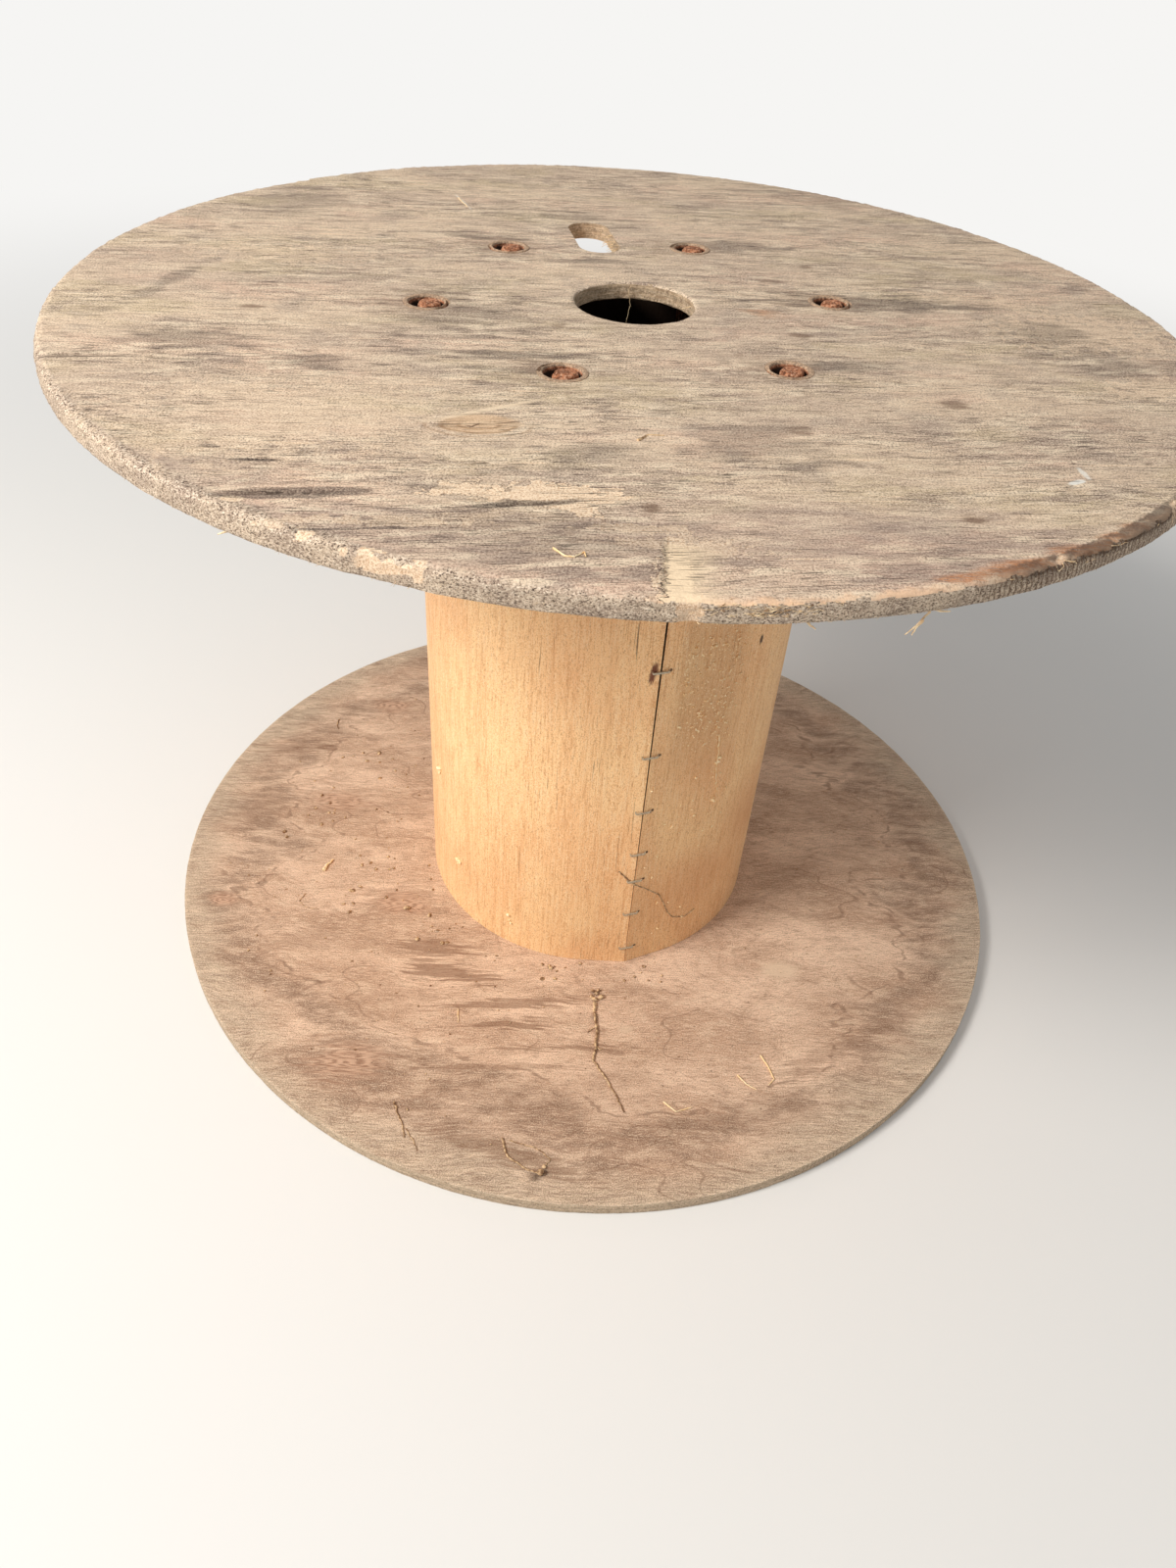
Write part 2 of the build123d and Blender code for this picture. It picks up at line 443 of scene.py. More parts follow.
top_grey_stains = [
    (168, 40, 136, 30, 10, 0.60), (212, 45, 54, 14, 10, 0.75), (-125, 121, 62, 14, 8, 0.55),
    (72, 152, 74, 34, 12, 0.42), (-55, 197, 66, 22, 10, 0.42), (-275, 170, 64, 60, 0, 0.32),
    (-40, 83, 62, 9, 10, 0.60), (-115, -52, 74, 76, 10, 0.42), (-65, -113, 98, 15, 6, 0.66),
    (-80, -140, 56, 9, 4, 0.50), (142, -86, 62, 16, 12, 0.55), (282, 5, 58, 32, 10, 0.48),
    (315, -45, 64, 40, 10, 0.36), (72, -215, 72, 48, 10, 0.40), (-18, -242, 52, 26, 30, 0.42),
    (-262, -132, 58, 36, 8, 0.50), (-187, -150, 44, 22, 8, 0.50), (-310, -45, 92, 13, 76, 0.46),
    (-40, -338, 140, 44, 8, 0.2), (272, 220, 38, 9, 14, 0.50), (155, 330, 96, 60, 0, 0.30)]
top_sharp_stains = [(-155, -311, 74, 11, 11, 0.72), (-44, -302, 56, 7, 18, 0.85),
                    (-179, -280, 26, 3, 8, 0.9), (-92, -293, 26, 5, 4, 0.5),
                    (-118, -340, 52, 2.2, 12, 0.7), (-205, -270, 10, 4, 0, 0.6)]
top_mauve_stains = [(-30, -338, 150, 46, 8, 0.32), (70, -326, 130, 22, 6, 0.35),
                    (130, -300, 130, 30, 10, 0.3), (-150, -332, 90, 18, 12, 0.35),
                    (170, -322, 120, 24, 20, 0.35), (-215, -290, 90, 16, 10, 0.3)]
top_brown_spots = [
    (127, 114, 10, 6, 10, 0.7), (44, 213, 9, 6, 0, 0.7), (98, 71, 15, 10, 0, 0.55),
    (34, 53, 9, 8, 0, 0.55), (110, -40, 10, 7, 0, 0.8), (-47, -57, 8, 6, 0, 0.6),
    (192, -134, 12, 9, 0, 0.7), (99, -192, 12, 10, 0, 0.6), (175, -280, 9, 7, 0, 0.9),
    (17, -297, 8, 9, 0, 0.9), (-242, -69, 13, 5, 10, 0.8), (255, 72, 15, 8, 0, 0.5)]
top_cream_patches = [(-77, -292, 34, 13, 8, 1.0), (-34, -286, 36, 14, 4, 1.0),
                     (-18, -304, 20, 12, -14, 1.0), (315, 14, 120, 70, 8, 0.55),
                     (335, -80, 66, 36, 10, 0.6), (28, -360, 16, 40, 0, 0.9),
                     (-192, -230, 160, 96, 8, 0.3), (-150, -338, 90, 8, 14, 0.5),
                     (10, -318, 40, 8, 8, 0.6), (-95, -330, 60, 7, 8, 0.6), (40, -330, 60, 14, 4, 0.5),
                     (240, 60, 90, 30, 10, 0.4), (-252, 40, 120, 40, 10, 0.35)]
rim_patches = [(-96, -369, 20, 5, -12, 1.0), (-139, -348, 8, 4, 0, 1.0), (-180, -322, 12, 4, 10, 0.9),
               (-118, -357, 5, 3, 0, 0.9), (34, -376, 11, 8, 0, 1.0)]


def rim_depth(flat):
    """How far in from the rim a place lies, in mm."""
    return (flange_radius - length_of(flat)) / MM


def veneer_step(flat, jag, wood):
    """Fresh wood to the right of the line where the top veneer has broken away at the rim, and a
    painted shadow along that line.
    """
    sides = sides_of(flat)
    jag = (jag - 0.5) * 24.0
    past = sides["X"] / MM - veneer_end + jag
    near_rim = fade(sides["Y"] - jag * MM, -0.326, -0.334)
    pale = fade(past, 0.0, 0.6) * fade(past, 34.0, 6.0)
    wood = tint(pale * near_rim * 0.85, wood, (252, 226, 190))
    # Painted shadow: a thin dark line at the foot of the step.
    line = fade(maths("ABSOLUTE", past), 0.9, 0.3) * near_rim
    return tint(line * 0.9, wood, (70, 52, 42))


def weathered_face():
    material, tree, place = start_finish("weathered_face")
    flat = flat_place(place)

    def drawn(along, across, detail, shift):
        return streaks(flat, top_grain, along, across, wander=10, detail=detail, shift=shift)

    broad = drawn(260, 90, 3, 0.0)
    zone = drawn(130, 48, 5, 23.0)
    clouds = drawn(64, 16, 7, 3.0)
    flakes = drawn(30, 7, 6, 13.0)
    ribs = drawn(34, 2.4, 4, 5.0)
    fibres = drawn(7, 0.8, 3, 7.0)
    dashes = drawn(18, 0.9, 1, 17.0)
    checks = drawn(46, 1.3, 2, 37.0)
    grains = speckle(flat, 1.15, 3, 0.7)
    bruises = speckle(flat, 46, 6, 0.6)
    hues = drawn(150, 64, 4, 71.0)
    sides = sides_of(place)
    rough_zone = fade(zone, 0.43, 0.57)
    ragged = (clouds - 0.5) * 3.0 + (flakes - 0.5) * 3.0

    def rough_share(calm_part, rough_part):
        return fade(rough_zone, 0.0, 1.0, calm_part, rough_part)

    wood = blend(broad, 0.42, 0.58, (228, 202, 173), (208, 183, 159))
    wood = tones(wood, [
        (hues, 0.52, 0.64, 0.55, (232, 194, 168)),
        (hues, 0.48, 0.36, 0.55, (206, 187, 148)),
        (sides["Y"], -0.24, -0.34, 0.3, (228, 190, 168)),
        (bruises, 0.53, 0.64, 0.5, (164, 146, 133)),
        (clouds, 0.47, 0.34, rough_share(0.3, 0.62), (158, 138, 124)),
        (clouds, 0.54, 0.66, rough_share(0.35, 0.6), (246, 224, 194)),
        (flakes, 0.46, 0.4, rough_share(0.34, 0.62), (146, 125, 111)),
        (flakes, 0.55, 0.58, rough_share(0.34, 0.72), (250, 229, 199)),
        (ribs, 0.53, 0.66, rough_share(0.3, 0.36), (250, 230, 202)),
        (ribs, 0.45, 0.34, rough_share(0.34, 0.42), (134, 113, 99)),
        (fibres, 0.52, 0.65, rough_share(0.46, 0.5), (250, 228, 202)),
        (fibres, 0.48, 0.35, rough_share(0.48, 0.52), (132, 110, 96)),
        (grains, 0.51, 0.63, rough_share(0.56, 0.7), (252, 231, 205)),
        (grains, 0.49, 0.37, rough_share(0.6, 0.78), (122, 101, 88))])

    mauve = marks(flat, ragged, top_mauve_stains, soft=0.8)
    wood = tint(mauve, wood, (150, 128, 120))
    crumbs = (speckle(flat, 9, 6, 0.65) - 0.5) * 5.0 + ragged * 0.4
    patches = top_cream_patches + rim_patches
    cream = marks(flat, crumbs, patches, soft=0.08)
    # Painted shadow: a dark dotted ring just outside the cream torn patches, along their torn edges.
    around = marks(flat, crumbs - 0.22, patches, soft=0.12)
    dotted = fade(grains, 0.54, 0.46, 0.3, 1.0)
    outline = maths("SUBTRACT", around, cream, clamp=True) * dotted
    wood = tint(outline * 0.8, wood, (104, 84, 72))
    felt = use_group(grey_felt, {"Vector": place})
    depth = rim_depth(flat) + crumbs * 2.5
    right_front = fade(sides["X"], 0.01, 0.034) * fade(sides["Y"], -0.05, -0.25)
    felt_reach = fade(sides["X"], -0.16, -0.02, 12.0, 5.0)
    felt_reach = felt_reach * fade(sides["Y"], -0.12, -0.3, 0.35, 1.0)
    felted = fade(depth - felt_reach, 1.5, -2.5) * (1.0 - right_front)
    wood = tint(felted, wood, felt["Colour"])
    torn = fade(attribute(tree, "torn") + ribs * 0.8, 0.72, 0.86)
    cream = maths("MAXIMUM", cream, torn)
    fresh = blend(grains, 0.38, 0.56, (210, 174, 140), (252, 228, 198))
    wood = tint(cream, wood, fresh)
    arris = fade(depth, 7.0, 3.0) * right_front * fade(clouds, 0.4, 0.56, 0.3, 0.85)
    wood = tint(arris, wood, (244, 204, 168))
    wood = veneer_step(flat, drawn(7, 1.8, 3, 29.0), wood)
    stain = marks(flat, ragged, top_grey_stains, soft=0.5) * fade(grains, 0.35, 0.64, 1.0, 0.6)
    wood = tint(stain, wood, (86, 77, 71))
    sharp = marks(flat, ragged * 0.3, top_sharp_stains, soft=0.2)
    wood = tint(sharp * fade(grains, 0.35, 0.66, 1.0, 0.55), wood, (74, 64, 60))
    spots = marks(flat, ragged, top_brown_spots, soft=0.7)
    wood = tint(spots * 0.75, wood, (116, 88, 68))

    oval_knot = mark(flat, ragged * 0.12, (-77, -217, 42, 25, 8, 0.6), soft=0.2)
    wood = tint(oval_knot["Mask"], wood, (222, 184, 144))
    rings = maths("SINE", oval_knot["Distance"] * 15.0)
    below = fade(sides["Y"] + sides["X"] * -0.14, -0.2, -0.212)
    ring_share = fade(oval_knot["Distance"], 1.7, 1.1) * fade(rings, 0.3, 1.0) * (below * 0.6)
    wood = tint(ring_share, wood, (158, 120, 84))
    knot_cracks = [(-79, -219, 8, 1.4, 55, 0.8), (-82, -221, 5, 1.2, -20, 0.7),
                   (-62, -212, 16, 1.6, 24, 0.6)]
    eye = marks(flat, ragged * 0.2, knot_cracks, soft=0.4)
    wood = tint(eye, wood, (92, 64, 46))
    knot_marks = [(-76, -198, 62, 4, 36, 0.75), (-40, -212, 40, 5, 8, 0.4)]
    pale = marks(flat, ragged * 0.25, knot_marks, soft=0.6)
    wood = tint(pale, wood, (246, 222, 190))

    halo_places = [(rod_x - 6, rod_y - 1, 50, 38, 8, 0.4) for rod_x, rod_y in rod_places]
    halo = marks(flat, crumbs, halo_places, soft=0.8)
    wood = tint(halo, wood, (162, 136, 114))
    bloom_places = [(85, -2, 20, 14, 0, 0.5), (190, -320, 76, 9, 30, 0.9), (235, -292, 60, 8, 42, 0.7)]
    bloom = marks(flat, ragged, bloom_places, soft=0.6) * fade(fibres, 0.42, 0.56, 0.25, 1.0)
    wood = tint(bloom, wood, (206, 138, 88))
    dried_splash = [(240, -227, 13, 4.5, 35, 1.0), (247, -215, 4, 14, 10, 0.7),
                    (-150, 218, 46, 2.0, -65, 0.5)]
    white = marks(flat, ragged * 0.4, dried_splash, soft=0.25)
    wood = tint(white, wood, (246, 242, 232))

    dash_mask = fade(dashes, 0.37, 0.31) * fade(zone, 0.44, 0.56)
    dash_mask = maths("MAXIMUM", dash_mask, fade(checks, 0.34, 0.31)) * fade(depth, 6.0, 14.0)
    split = marks(flat, ragged * 0.35, [(-310, -172, 66, 1.8, 13, 1.0)], soft=0.4)
    # The sunk layer also brings the painted shadow at the foot of the veneer step.
    dark = maths("MAXIMUM", maths("MAXIMUM", dash_mask, split), attribute(tree, "sunk"))
    wood = tint(dark * 0.7, wood, (76, 62, 53))

    height = fibres * 0.5 + flakes * 1.2 + grains * 0.35 - dash_mask * 0.6
    roughness = fade(fibres, 0.3, 0.7, 0.95, 0.8)
    end_finish(tree, wood, roughness, height, depth_mm=1.2, specular=0.25)
    return material


weathered_face_finish = weathered_face()
print("weathered face has", len(weathered_face_finish.node_tree.nodes), "nodes")

# %% [markdown]
# ## Finish: face of the bottom flange
# This face was kept drier. The veneer was peeled from the log, so its growth lines make wide
# loops: they are contour lines of a slow noise. It is pinkish tan, greyer by the rim, with dark
# water stains whose ends run out into the fibres.

# %% Peeled veneer face
bottom_grain = math.radians(3)
bottom_stains = [
    (-128, -150, 60, 18, 0, 0.75), (-112, -176, 58, 16, -4, 0.9), (-60, -205, 110, 9, 10, 0.8),
    (-48, -226, 84, 9, 4, 0.85), (-10, -244, 90, 6, 6, 0.7), (-60, -268, 130, 5, 6, 0.5),
    (-252, 27, 74, 46, 0, 0.35), (-230, 190, 60, 34, 0, 0.35), (-165, -102, 54, 34, 0, 0.4),
    (-180, -277, 76, 42, -8, 0.45), (-327, -115, 30, 20, 0, 0.5), (236, -212, 130, 16, 34, 0.45),
    (-310, 105, 80, 22, 10, 0.5), (300, -60, 70, 18, 20, 0.35), (-40, -344, 110, 12, -14, 0.6),
    (-330, 10, 60, 60, 0, 0.3), (120, -300, 160, 24, 12, 0.3), (-240, -150, 50, 20, 30, 0.4),
    (10, -300, 220, 64, 4, 0.2), (-160, -215, 90, 50, 8, 0.18), (215, -175, 90, 60, 10, 0.1)]
bottom_knots = [(-252, 27, 50, 26, 0, 0.7), (-230, 190, 38, 22, 0, 0.7),
                (-165, -102, 42, 26, 0, 0.7), (-180, -277, 60, 34, 10, 0.65),
                (-327, -115, 22, 14, 0, 0.8), (180, -142, 14, 9, 0, 0.7)]
bottom_pale_knots = [(180, -142, 30, 18, 5, 0.7), (45, -220, 12, 8, 0, 0.5)]
bottom_halos = [(-252, 27, 110, 70, 0, 1), (-230, 190, 100, 70, 0, 1), (-165, -102, 90, 60, 0, 1),
                (-180, -277, 110, 64, 0, 1), (-327, -115, 60, 50, 0, 1), (180, -142, 130, 90, 0, 1)]


def contour(value, level, width):
    """A thin line where value passes level."""
    away = maths("ABSOLUTE", value - level)
    return fade(away, width, width * 0.2)


def peeled_face(name, weathering, stains, knots):
    material, tree, place = start_finish(name)
    flat = flat_place(place)

    def drawn(along, across, detail, shift):
        return streaks(flat, bottom_grain, along, across, wander=26, detail=detail, shift=shift)

    halos = marks(flat, 0.0, bottom_halos, soft=0.9)
    loops = drawn(240, 80, 1.5, 2.0) + halos * 0.16
    lines = maths("SINE", loops * 120.0)
    soft_lines = maths("SINE", loops * 42.0)
    clouds = drawn(130, 50, 6, 11.0)
    wisps = drawn(30, 9, 6, 14.0)
    ribs = drawn(60, 2.6, 3, 3.0)
    strands = drawn(30, 1.6, 3, 8.0)
    fibres = drawn(9, 1.0, 2, 5.0)
    grains = speckle(flat, 1.0, 3, 0.7)
    ragged = (ribs - 0.5) * 5.0 + (clouds - 0.5) * 2.5

    wood = blend(clouds, 0.4, 0.62, (234, 200, 172), (197, 161, 134))
    wood = shade(wood, soft_lines, 0.0, 1.0, 0.24, (186, 150, 122))
    wood = shade(wood, lines, 0.75, 1.0, 0.18, (152, 116, 90))
    tide = drawn(230, 100, 2.5, 61.0)
    wood = shade(wood, tide, 0.472, 0.445, 0.3, (150, 114, 88))
    broken = fade(clouds, 0.44, 0.58)
    tide_line = maths("MAXIMUM", contour(tide, 0.47, 0.006), contour(tide, 0.56, 0.004)) * broken
    depth = rim_depth(flat)
    creep = depth + (drawn(170, 70, 4, 41.0) - 0.5) * 230.0
    patchy = fade(wisps, 0.34, 0.58, 1.0, 0.45)
    damp = fade(creep, 86, 60) * fade(creep, 6, 40) * (patchy * fade(depth, 170, 100))
    wood = tint(damp * (weathering * 1.15), wood, (136, 108, 88))
    line = contour(creep, 84, 4.0) * fade(depth, 170, 100) * fade(wisps, 0.42, 0.58)
    outer = depth + (clouds - 0.5) * 90.0
    grey_wood = blend(strands, 0.36, 0.64, (160, 142, 123), (206, 187, 160))
    wood = tint(fade(outer, 44, 6, 0.0, weathering), wood, grey_wood)
    wood = tones(wood, [
        (depth, 4.0, 1.0, 0.35, (222, 202, 174)),
        (wisps, 0.52, 0.66, 0.34, (244, 216, 186)),
        (wisps, 0.47, 0.34, 0.38, (158, 126, 102)),
        (fibres, 0.52, 0.66, 0.42, (248, 222, 194)),
        (fibres, 0.48, 0.34, 0.45, (132, 104, 84)),
        (grains, 0.51, 0.63, 0.52, (252, 228, 200)),
        (grains, 0.49, 0.37, 0.58, (120, 94, 76))])
    wood = tint(tide_line * 0.4, wood, (122, 88, 66))
    wood = tint(line * (weathering * 0.7), wood, (110, 79, 60))

    stain = marks(flat, ragged, stains, soft=0.3)
    wood = tint(stain * 0.72, wood, (126, 90, 66))
    for knot_place in knots:
        knot = mark(flat, ragged * 0.35, knot_place, soft=0.5)
        rings = maths("SINE", knot["Distance"] * 16.0)
        knot_wood = blend(rings, -0.4, 0.9, (216, 178, 150), (152, 114, 90))
        wood = tint(knot["Mask"], wood, knot_wood)
    pale = marks(flat, ragged * 0.2, bottom_pale_knots, soft=0.5)
    wood = tint(pale, wood, (228, 203, 174))
    grit = fade(speckle(flat, 2.6, 2), 0.69, 0.74)
    wood = tint(grit * 0.7, wood, (88, 66, 50))
    wood = tint(attribute(tree, "sunk") * 0.8, wood, (74, 56, 44))

    height = fibres * 0.5 + grains * 0.4 + wisps * 0.6
    end_finish(tree, wood, fade(fibres, 0.3, 0.7, 0.85, 0.7), height, depth_mm=0.5, specular=0.3)
    return material


peeled_face_finish = peeled_face("peeled_face", 0.75, bottom_stains, bottom_knots)
underside_finish = peeled_face("underside_face", 0.35, [], [])

# %% [markdown]
# ## Finish: sawn plywood edge
# On the rim and in the holes the plies show as layers: the long-grained ones as level streaks and
# the cross-grained ones as open pores. Years of rolling turned the rim grey and fuzzy.

# %% Ply edge
ply_thickness = 2.4 * MM
rim_bite_from, rim_bite_to = -66, -34
bite_start, bite_stop = math.radians(rim_bite_from), math.radians(rim_bite_to)


def ply_edge(name, lowest, clean, dirty, felted, patches=()):
    """Layers of ply; felted says how far wear has hidden them under grey felted fibre."""
    material, tree, place = start_finish(name)
    up = sides_of(place)["Z"]
    wobble = (speckle(place, 14) - 0.5) * (0.8 * MM)
    above = up - lowest + wobble
    layer = maths("PINGPONG", above / ply_thickness, 1.0)
    cross = fade(layer, 0.35, 0.65)
    level = streaks(place, 0.0, 14, 14, depth=0.5, wander=0, detail=3)
    pores = speckle(place, 0.9, 3, 0.7)
    fuzz = speckle(place, 2.4, 5, 0.75)
    lumps = speckle(place, 16, 4, 0.6)
    wood = blend(level, 0.4, 0.65, dirty, clean)
    cross_wood = blend(pores, 0.4, 0.62, [c * 0.72 for c in dirty], clean)
    wood = tint(cross * 0.75, wood, cross_wood)
    wood = shade(wood, fuzz, 0.51, 0.62, 0.5, (240, 219, 190))
    wood = shade(wood, fuzz, 0.49, 0.37, 0.5, (88, 74, 62))
    felt = use_group(grey_felt, {"Vector": place})
    wood = tint(fade(lumps, 0.3, 0.5, felted, felted * 0.85), wood, felt["Colour"])
    glue = fade(maths("ABSOLUTE", layer - 0.5), 0.1, 0.0)
    wood = tint(glue * (0.35 * (1 - felted)), wood, (96, 74, 56))
    wood = tint(attribute(tree, "sunk") * 0.8, wood, (64, 44, 30))
    torn = fade(attribute(tree, "torn") + fuzz * 0.8, 0.66, 0.86)
    ragged = (fuzz - 0.5) * 3.0
    torn = maths("MAXIMUM", torn, marks(flat_place(place), ragged, patches, soft=0.1))
    fresh = blend(pores, 0.38, 0.56, (204, 168, 134), (246, 218, 188))
    wood = tint(torn, wood, fresh)
    sides = sides_of(place)
    around = maths("ARCTAN2", sides["Y"], sides["X"])
    chewed = fade(around, bite_start, bite_start + 0.08) * fade(around, bite_stop, bite_stop - 0.1)
    ticks = around * 760.0 + lumps * 14.0
    ticks = fade(maths("SINE", ticks), 0.1, 0.9) * (chewed * (0.7 * felted))
    wood = tint(ticks, wood, (96, 68, 48))
    height = level * 0.3 + pores * 0.6 + felt["Height"]
    end_finish(tree, wood, 0.9, height, depth_mm=0.8, specular=0.2)
    return material


top_edge_finish = ply_edge("weathered_ply_edge", top_underside, (206, 184, 158), (162, 143, 124), 0.9,
                           rim_patches)
hole_edge_finish = ply_edge("hole_ply_edge", top_underside, (232, 204, 168), (176, 144, 110), 0.25)
bottom_edge_finish = ply_edge("sawn_ply_edge", 0.0, (230, 206, 174), (192, 164, 134), 0.35)

# %% [markdown]
# ## Finish: barrel veneer
# The barrel stayed dry under the flange, so it is still the orange yellow of new wood. Its fibres
# stand upright. Noise that is long in height and narrow in both other directions gives upright
# streaks all round the tube, with no seam.

# %% Barrel veneer
seam_angle = math.radians(-74.5)
staple_heights = (31, 75, 115, 146, 192, 248, 326, 402, 476)
seam_marks = [(-5.2, 325, 4.6, 19, -8, 0.95), (-1.0, 325, 12, 2.6, 0, 0.8)]
leg_holes = [(7.6, height, 2.6, 2.6, 0, 0.95) for height in staple_heights]
barrel_holes = [(84, 327, 3.2, 7, 0, 0.9), (-18.5, 349, 1.0, 30, 2, 0.6), (-7, 180, 0.9, 50, 1, 0.35)]
barrel_blushes = [(-60, 330, 50, 70, 0, 0.18), (60, 90, 90, 60, 0, 0.35), (110, 130, 40, 70, 20, 0.45),
                  (48, 240, 60, 90, 0, 0.25)]


def seam_place(place):
    """Coordinates for marks near the seam, across it and up, and a mask of its gap, for painted shade.
    """
    sides = sides_of(turn_about_z(place, -seam_angle))
    outward = fade(sides["X"], 0.0, 0.02)
    behind = 1.0 - outward
    across = sides["Y"] + behind
    between_edges = fade(maths("ABSOLUTE", across), 2.6 * MM, 1.6 * MM)
    gap_shade_mask = between_edges * fade(sides["X"], 152.3 * MM, 151.8 * MM)
    return join(X=across, Y=sides["Z"]), gap_shade_mask


def barrel_veneer():
    material, tree, place = start_finish("barrel_veneer")
    fibres = streaks(place, 0.0, 1.3, 1.3, depth=24, wander=3, detail=3)
    bands = streaks(place, 0.0, 7, 7, depth=160, wander=8, detail=3, shift=4.0)
    pores = streaks(place, 0.0, 0.7, 0.7, depth=3.6, wander=0, detail=1, shift=8.0)
    fine_checks = streaks(place, 0.0, 0.7, 0.7, depth=50, wander=3, detail=0, shift=21.0)
    clouds = speckle(place, 90, 4)
    grains = speckle(place, 1.0, 2, 0.7)
    wood = blend(clouds, 0.38, 0.62, (255, 210, 154), (248, 195, 140))
    wood = tones(wood, [
        (bands, 0.46, 0.66, 0.38, (234, 174, 118)),
        (fibres, 0.52, 0.66, 0.45, (255, 222, 176)),
        (fibres, 0.46, 0.34, 0.5, (208, 148, 96)),
        (pores, 0.42, 0.28, 0.62, (182, 120, 76)),
        (grains, 0.53, 0.66, 0.55, (255, 230, 190)),
        (grains, 0.47, 0.34, 0.55, (190, 130, 84))])
    check_zone = fade(speckle(place, 50, 1), 0.54, 0.66)
    check_mask = fade(fine_checks, 0.25, 0.19) * check_zone
    wood = tint(check_mask * 0.7, wood, (134, 88, 54))
    near_seam, gap_shade_mask = seam_place(place)
    ragged = (pores - 0.5) * 1.2
    blush = marks(near_seam, (clouds - 0.5) * 2.0, barrel_blushes, soft=0.9)
    wood = tint(blush, wood, (214, 148, 100))
    rusty = marks(near_seam, ragged, seam_marks, soft=0.4)
    wood = tint(rusty, wood, (112, 58, 38))
    holes = marks(near_seam, ragged, barrel_holes + leg_holes, soft=0.4)
    wood = tint(holes, wood, (52, 32, 22))
    grit = fade(speckle(place, 1.8, 2), 0.63, 0.67)
    dusty = attribute(tree, "dusty")
    wood = tint(dusty * 0.35, wood, (176, 138, 96))
    wood = tint(grit * dusty, wood, (255, 232, 188))
    # Painted shade: the inside of the barrel, and the sheet edges that run into the seam, dark brown.
    wood = tint(attribute(tree, "inner"), wood, (56, 40, 29))
    # Painted shade: the seam's gap, with the sheet edges and batten seen in it, nearly black.
    wood = tint(gap_shade_mask, wood, (12, 9, 7))
    height = fibres * 0.7 + pores * 0.5 - check_mask
    end_finish(tree, wood, fade(fibres, 0.3, 0.7, 0.7, 0.55), height, depth_mm=0.35, specular=0.35)
    return material


barrel_finish = barrel_veneer()


def batten_softwood():
    material, tree, place = start_finish("batten_softwood")
    fibres = streaks(place, 0.0, 1.6, 1.6, depth=60, wander=4, detail=3)
    wood = blend(fibres, 0.35, 0.65, (196, 158, 112), (226, 192, 146))
    # Painted shade: the batten where it shows in the seam's gap, nearly black.
    wood = tint(seam_place(place)[1], wood, (12, 9, 7))
    end_finish(tree, wood, 0.75, fibres, depth_mm=0.4, specular=0.3)
    return material


batten_finish = batten_softwood()

# %% [markdown]
# ## Finish: rust and steel
# The washers and nuts are solid rust: bright orange powder on brown scale. Below a set height
# they get painted shade, nearly black: deep in the top washers' dishes, on the lower part of the
# top nuts and on the rods below the bottom face. The rods rust where they stick out. The staples
# are bare grey wire with rust dots.

# %% Rust and steel
def rusted_iron(name, size_mm, grimy_above, painted_shade_below):
    """Rust, with grey grime above one height and painted shade, nearly black, below another."""
    material, tree, place = start_finish(name)
    scale_crust = speckle(place, size_mm, 5, 0.65)
    powder = speckle(place, size_mm * 0.35, 4, 0.65)
    rust = blend(scale_crust, 0.42, 0.58, (126, 78, 52), (190, 126, 90))
    rust = shade(rust, powder, 0.51, 0.64, 0.75, (218, 174, 144))
    rust = shade(rust, powder, 0.47, 0.34, 0.85, (64, 42, 33))
    up = sides_of(place)["Z"]
    grime = fade(up, grimy_above, grimy_above + 0.5 * MM) * fade(powder, 0.36, 0.6, 1.0, 0.72)
    grit = blend(powder, 0.4, 0.6, (146, 124, 104), (206, 180, 150))
    rust = tint(grime, rust, grit)
    # Painted shade: nearly black below the last height, where the hollows lie in shade.
    rust = shade(rust, up, painted_shade_below, painted_shade_below - 2.5 * MM, 0.95, (30, 19, 14))
    height = scale_crust + powder * 0.6
    end_finish(tree, rust, fade(powder, 0.3, 0.7, 0.8, 0.95), height, depth_mm=0.9, specular=0.3)
    return material


# Each rust gets painted shade below the last height given to it.
washer_finish = rusted_iron("rusted_washer", 4.0, top_face - 1.3 * MM, top_face - 1.2 * MM)
nut_finish = rusted_iron("rusted_nut", 4.6, top_face + 9 * MM, top_face - 3.4 * MM)
underside_rust_finish = rusted_iron("rusted_underside", 4.2, top_face + 9 * MM, -9 * MM)


def grey_steel(name, rust_amount):
    material, tree, place = start_finish(name)
    dots = speckle(place, 2.0, 4, 0.6)
    rusty = fade(dots, 0.62 - rust_amount * 0.3, 0.72 - rust_amount * 0.3)
    wear = speckle(place, 0.8, 3)
    steel = blend(wear, 0.35, 0.65, (164, 156, 138), (206, 198, 176))
    steel = tint(rusty, steel, (134, 78, 48))
    metallic = 0.45 - rusty * 0.45
    end_finish(tree, steel, fade(wear, 0.3, 0.7, 0.55, 0.4), dots, depth_mm=0.15, metallic=metallic)
    return material


staple_finish = grey_steel("staple_wire", 0.2)
rod_finish = rusted_iron("rusted_rod", 4.6, top_face + 9 * MM, bottom_face)


def plain_fibre(name, light, dark):
    """Loose straw, splinters and torn fibres: one colour that varies along each piece."""
    material, tree, place = start_finish(name)
    along = speckle(place, 3.0, 3)
    body = blend(along, 0.35, 0.65, dark, light)
    end_finish(tree, body, 0.85, speckle(place, 0.6, 2), depth_mm=0.1, specular=0.2)
    return material


fresh_fibre_finish = plain_fibre("fresh_fibre", (250, 226, 186), (206, 174, 134))
sawdust_finish = plain_fibre("pale_sawdust", (255, 238, 200), (250, 214, 158))
root_finish = plain_fibre("dry_root", (226, 194, 152), (136, 102, 74))

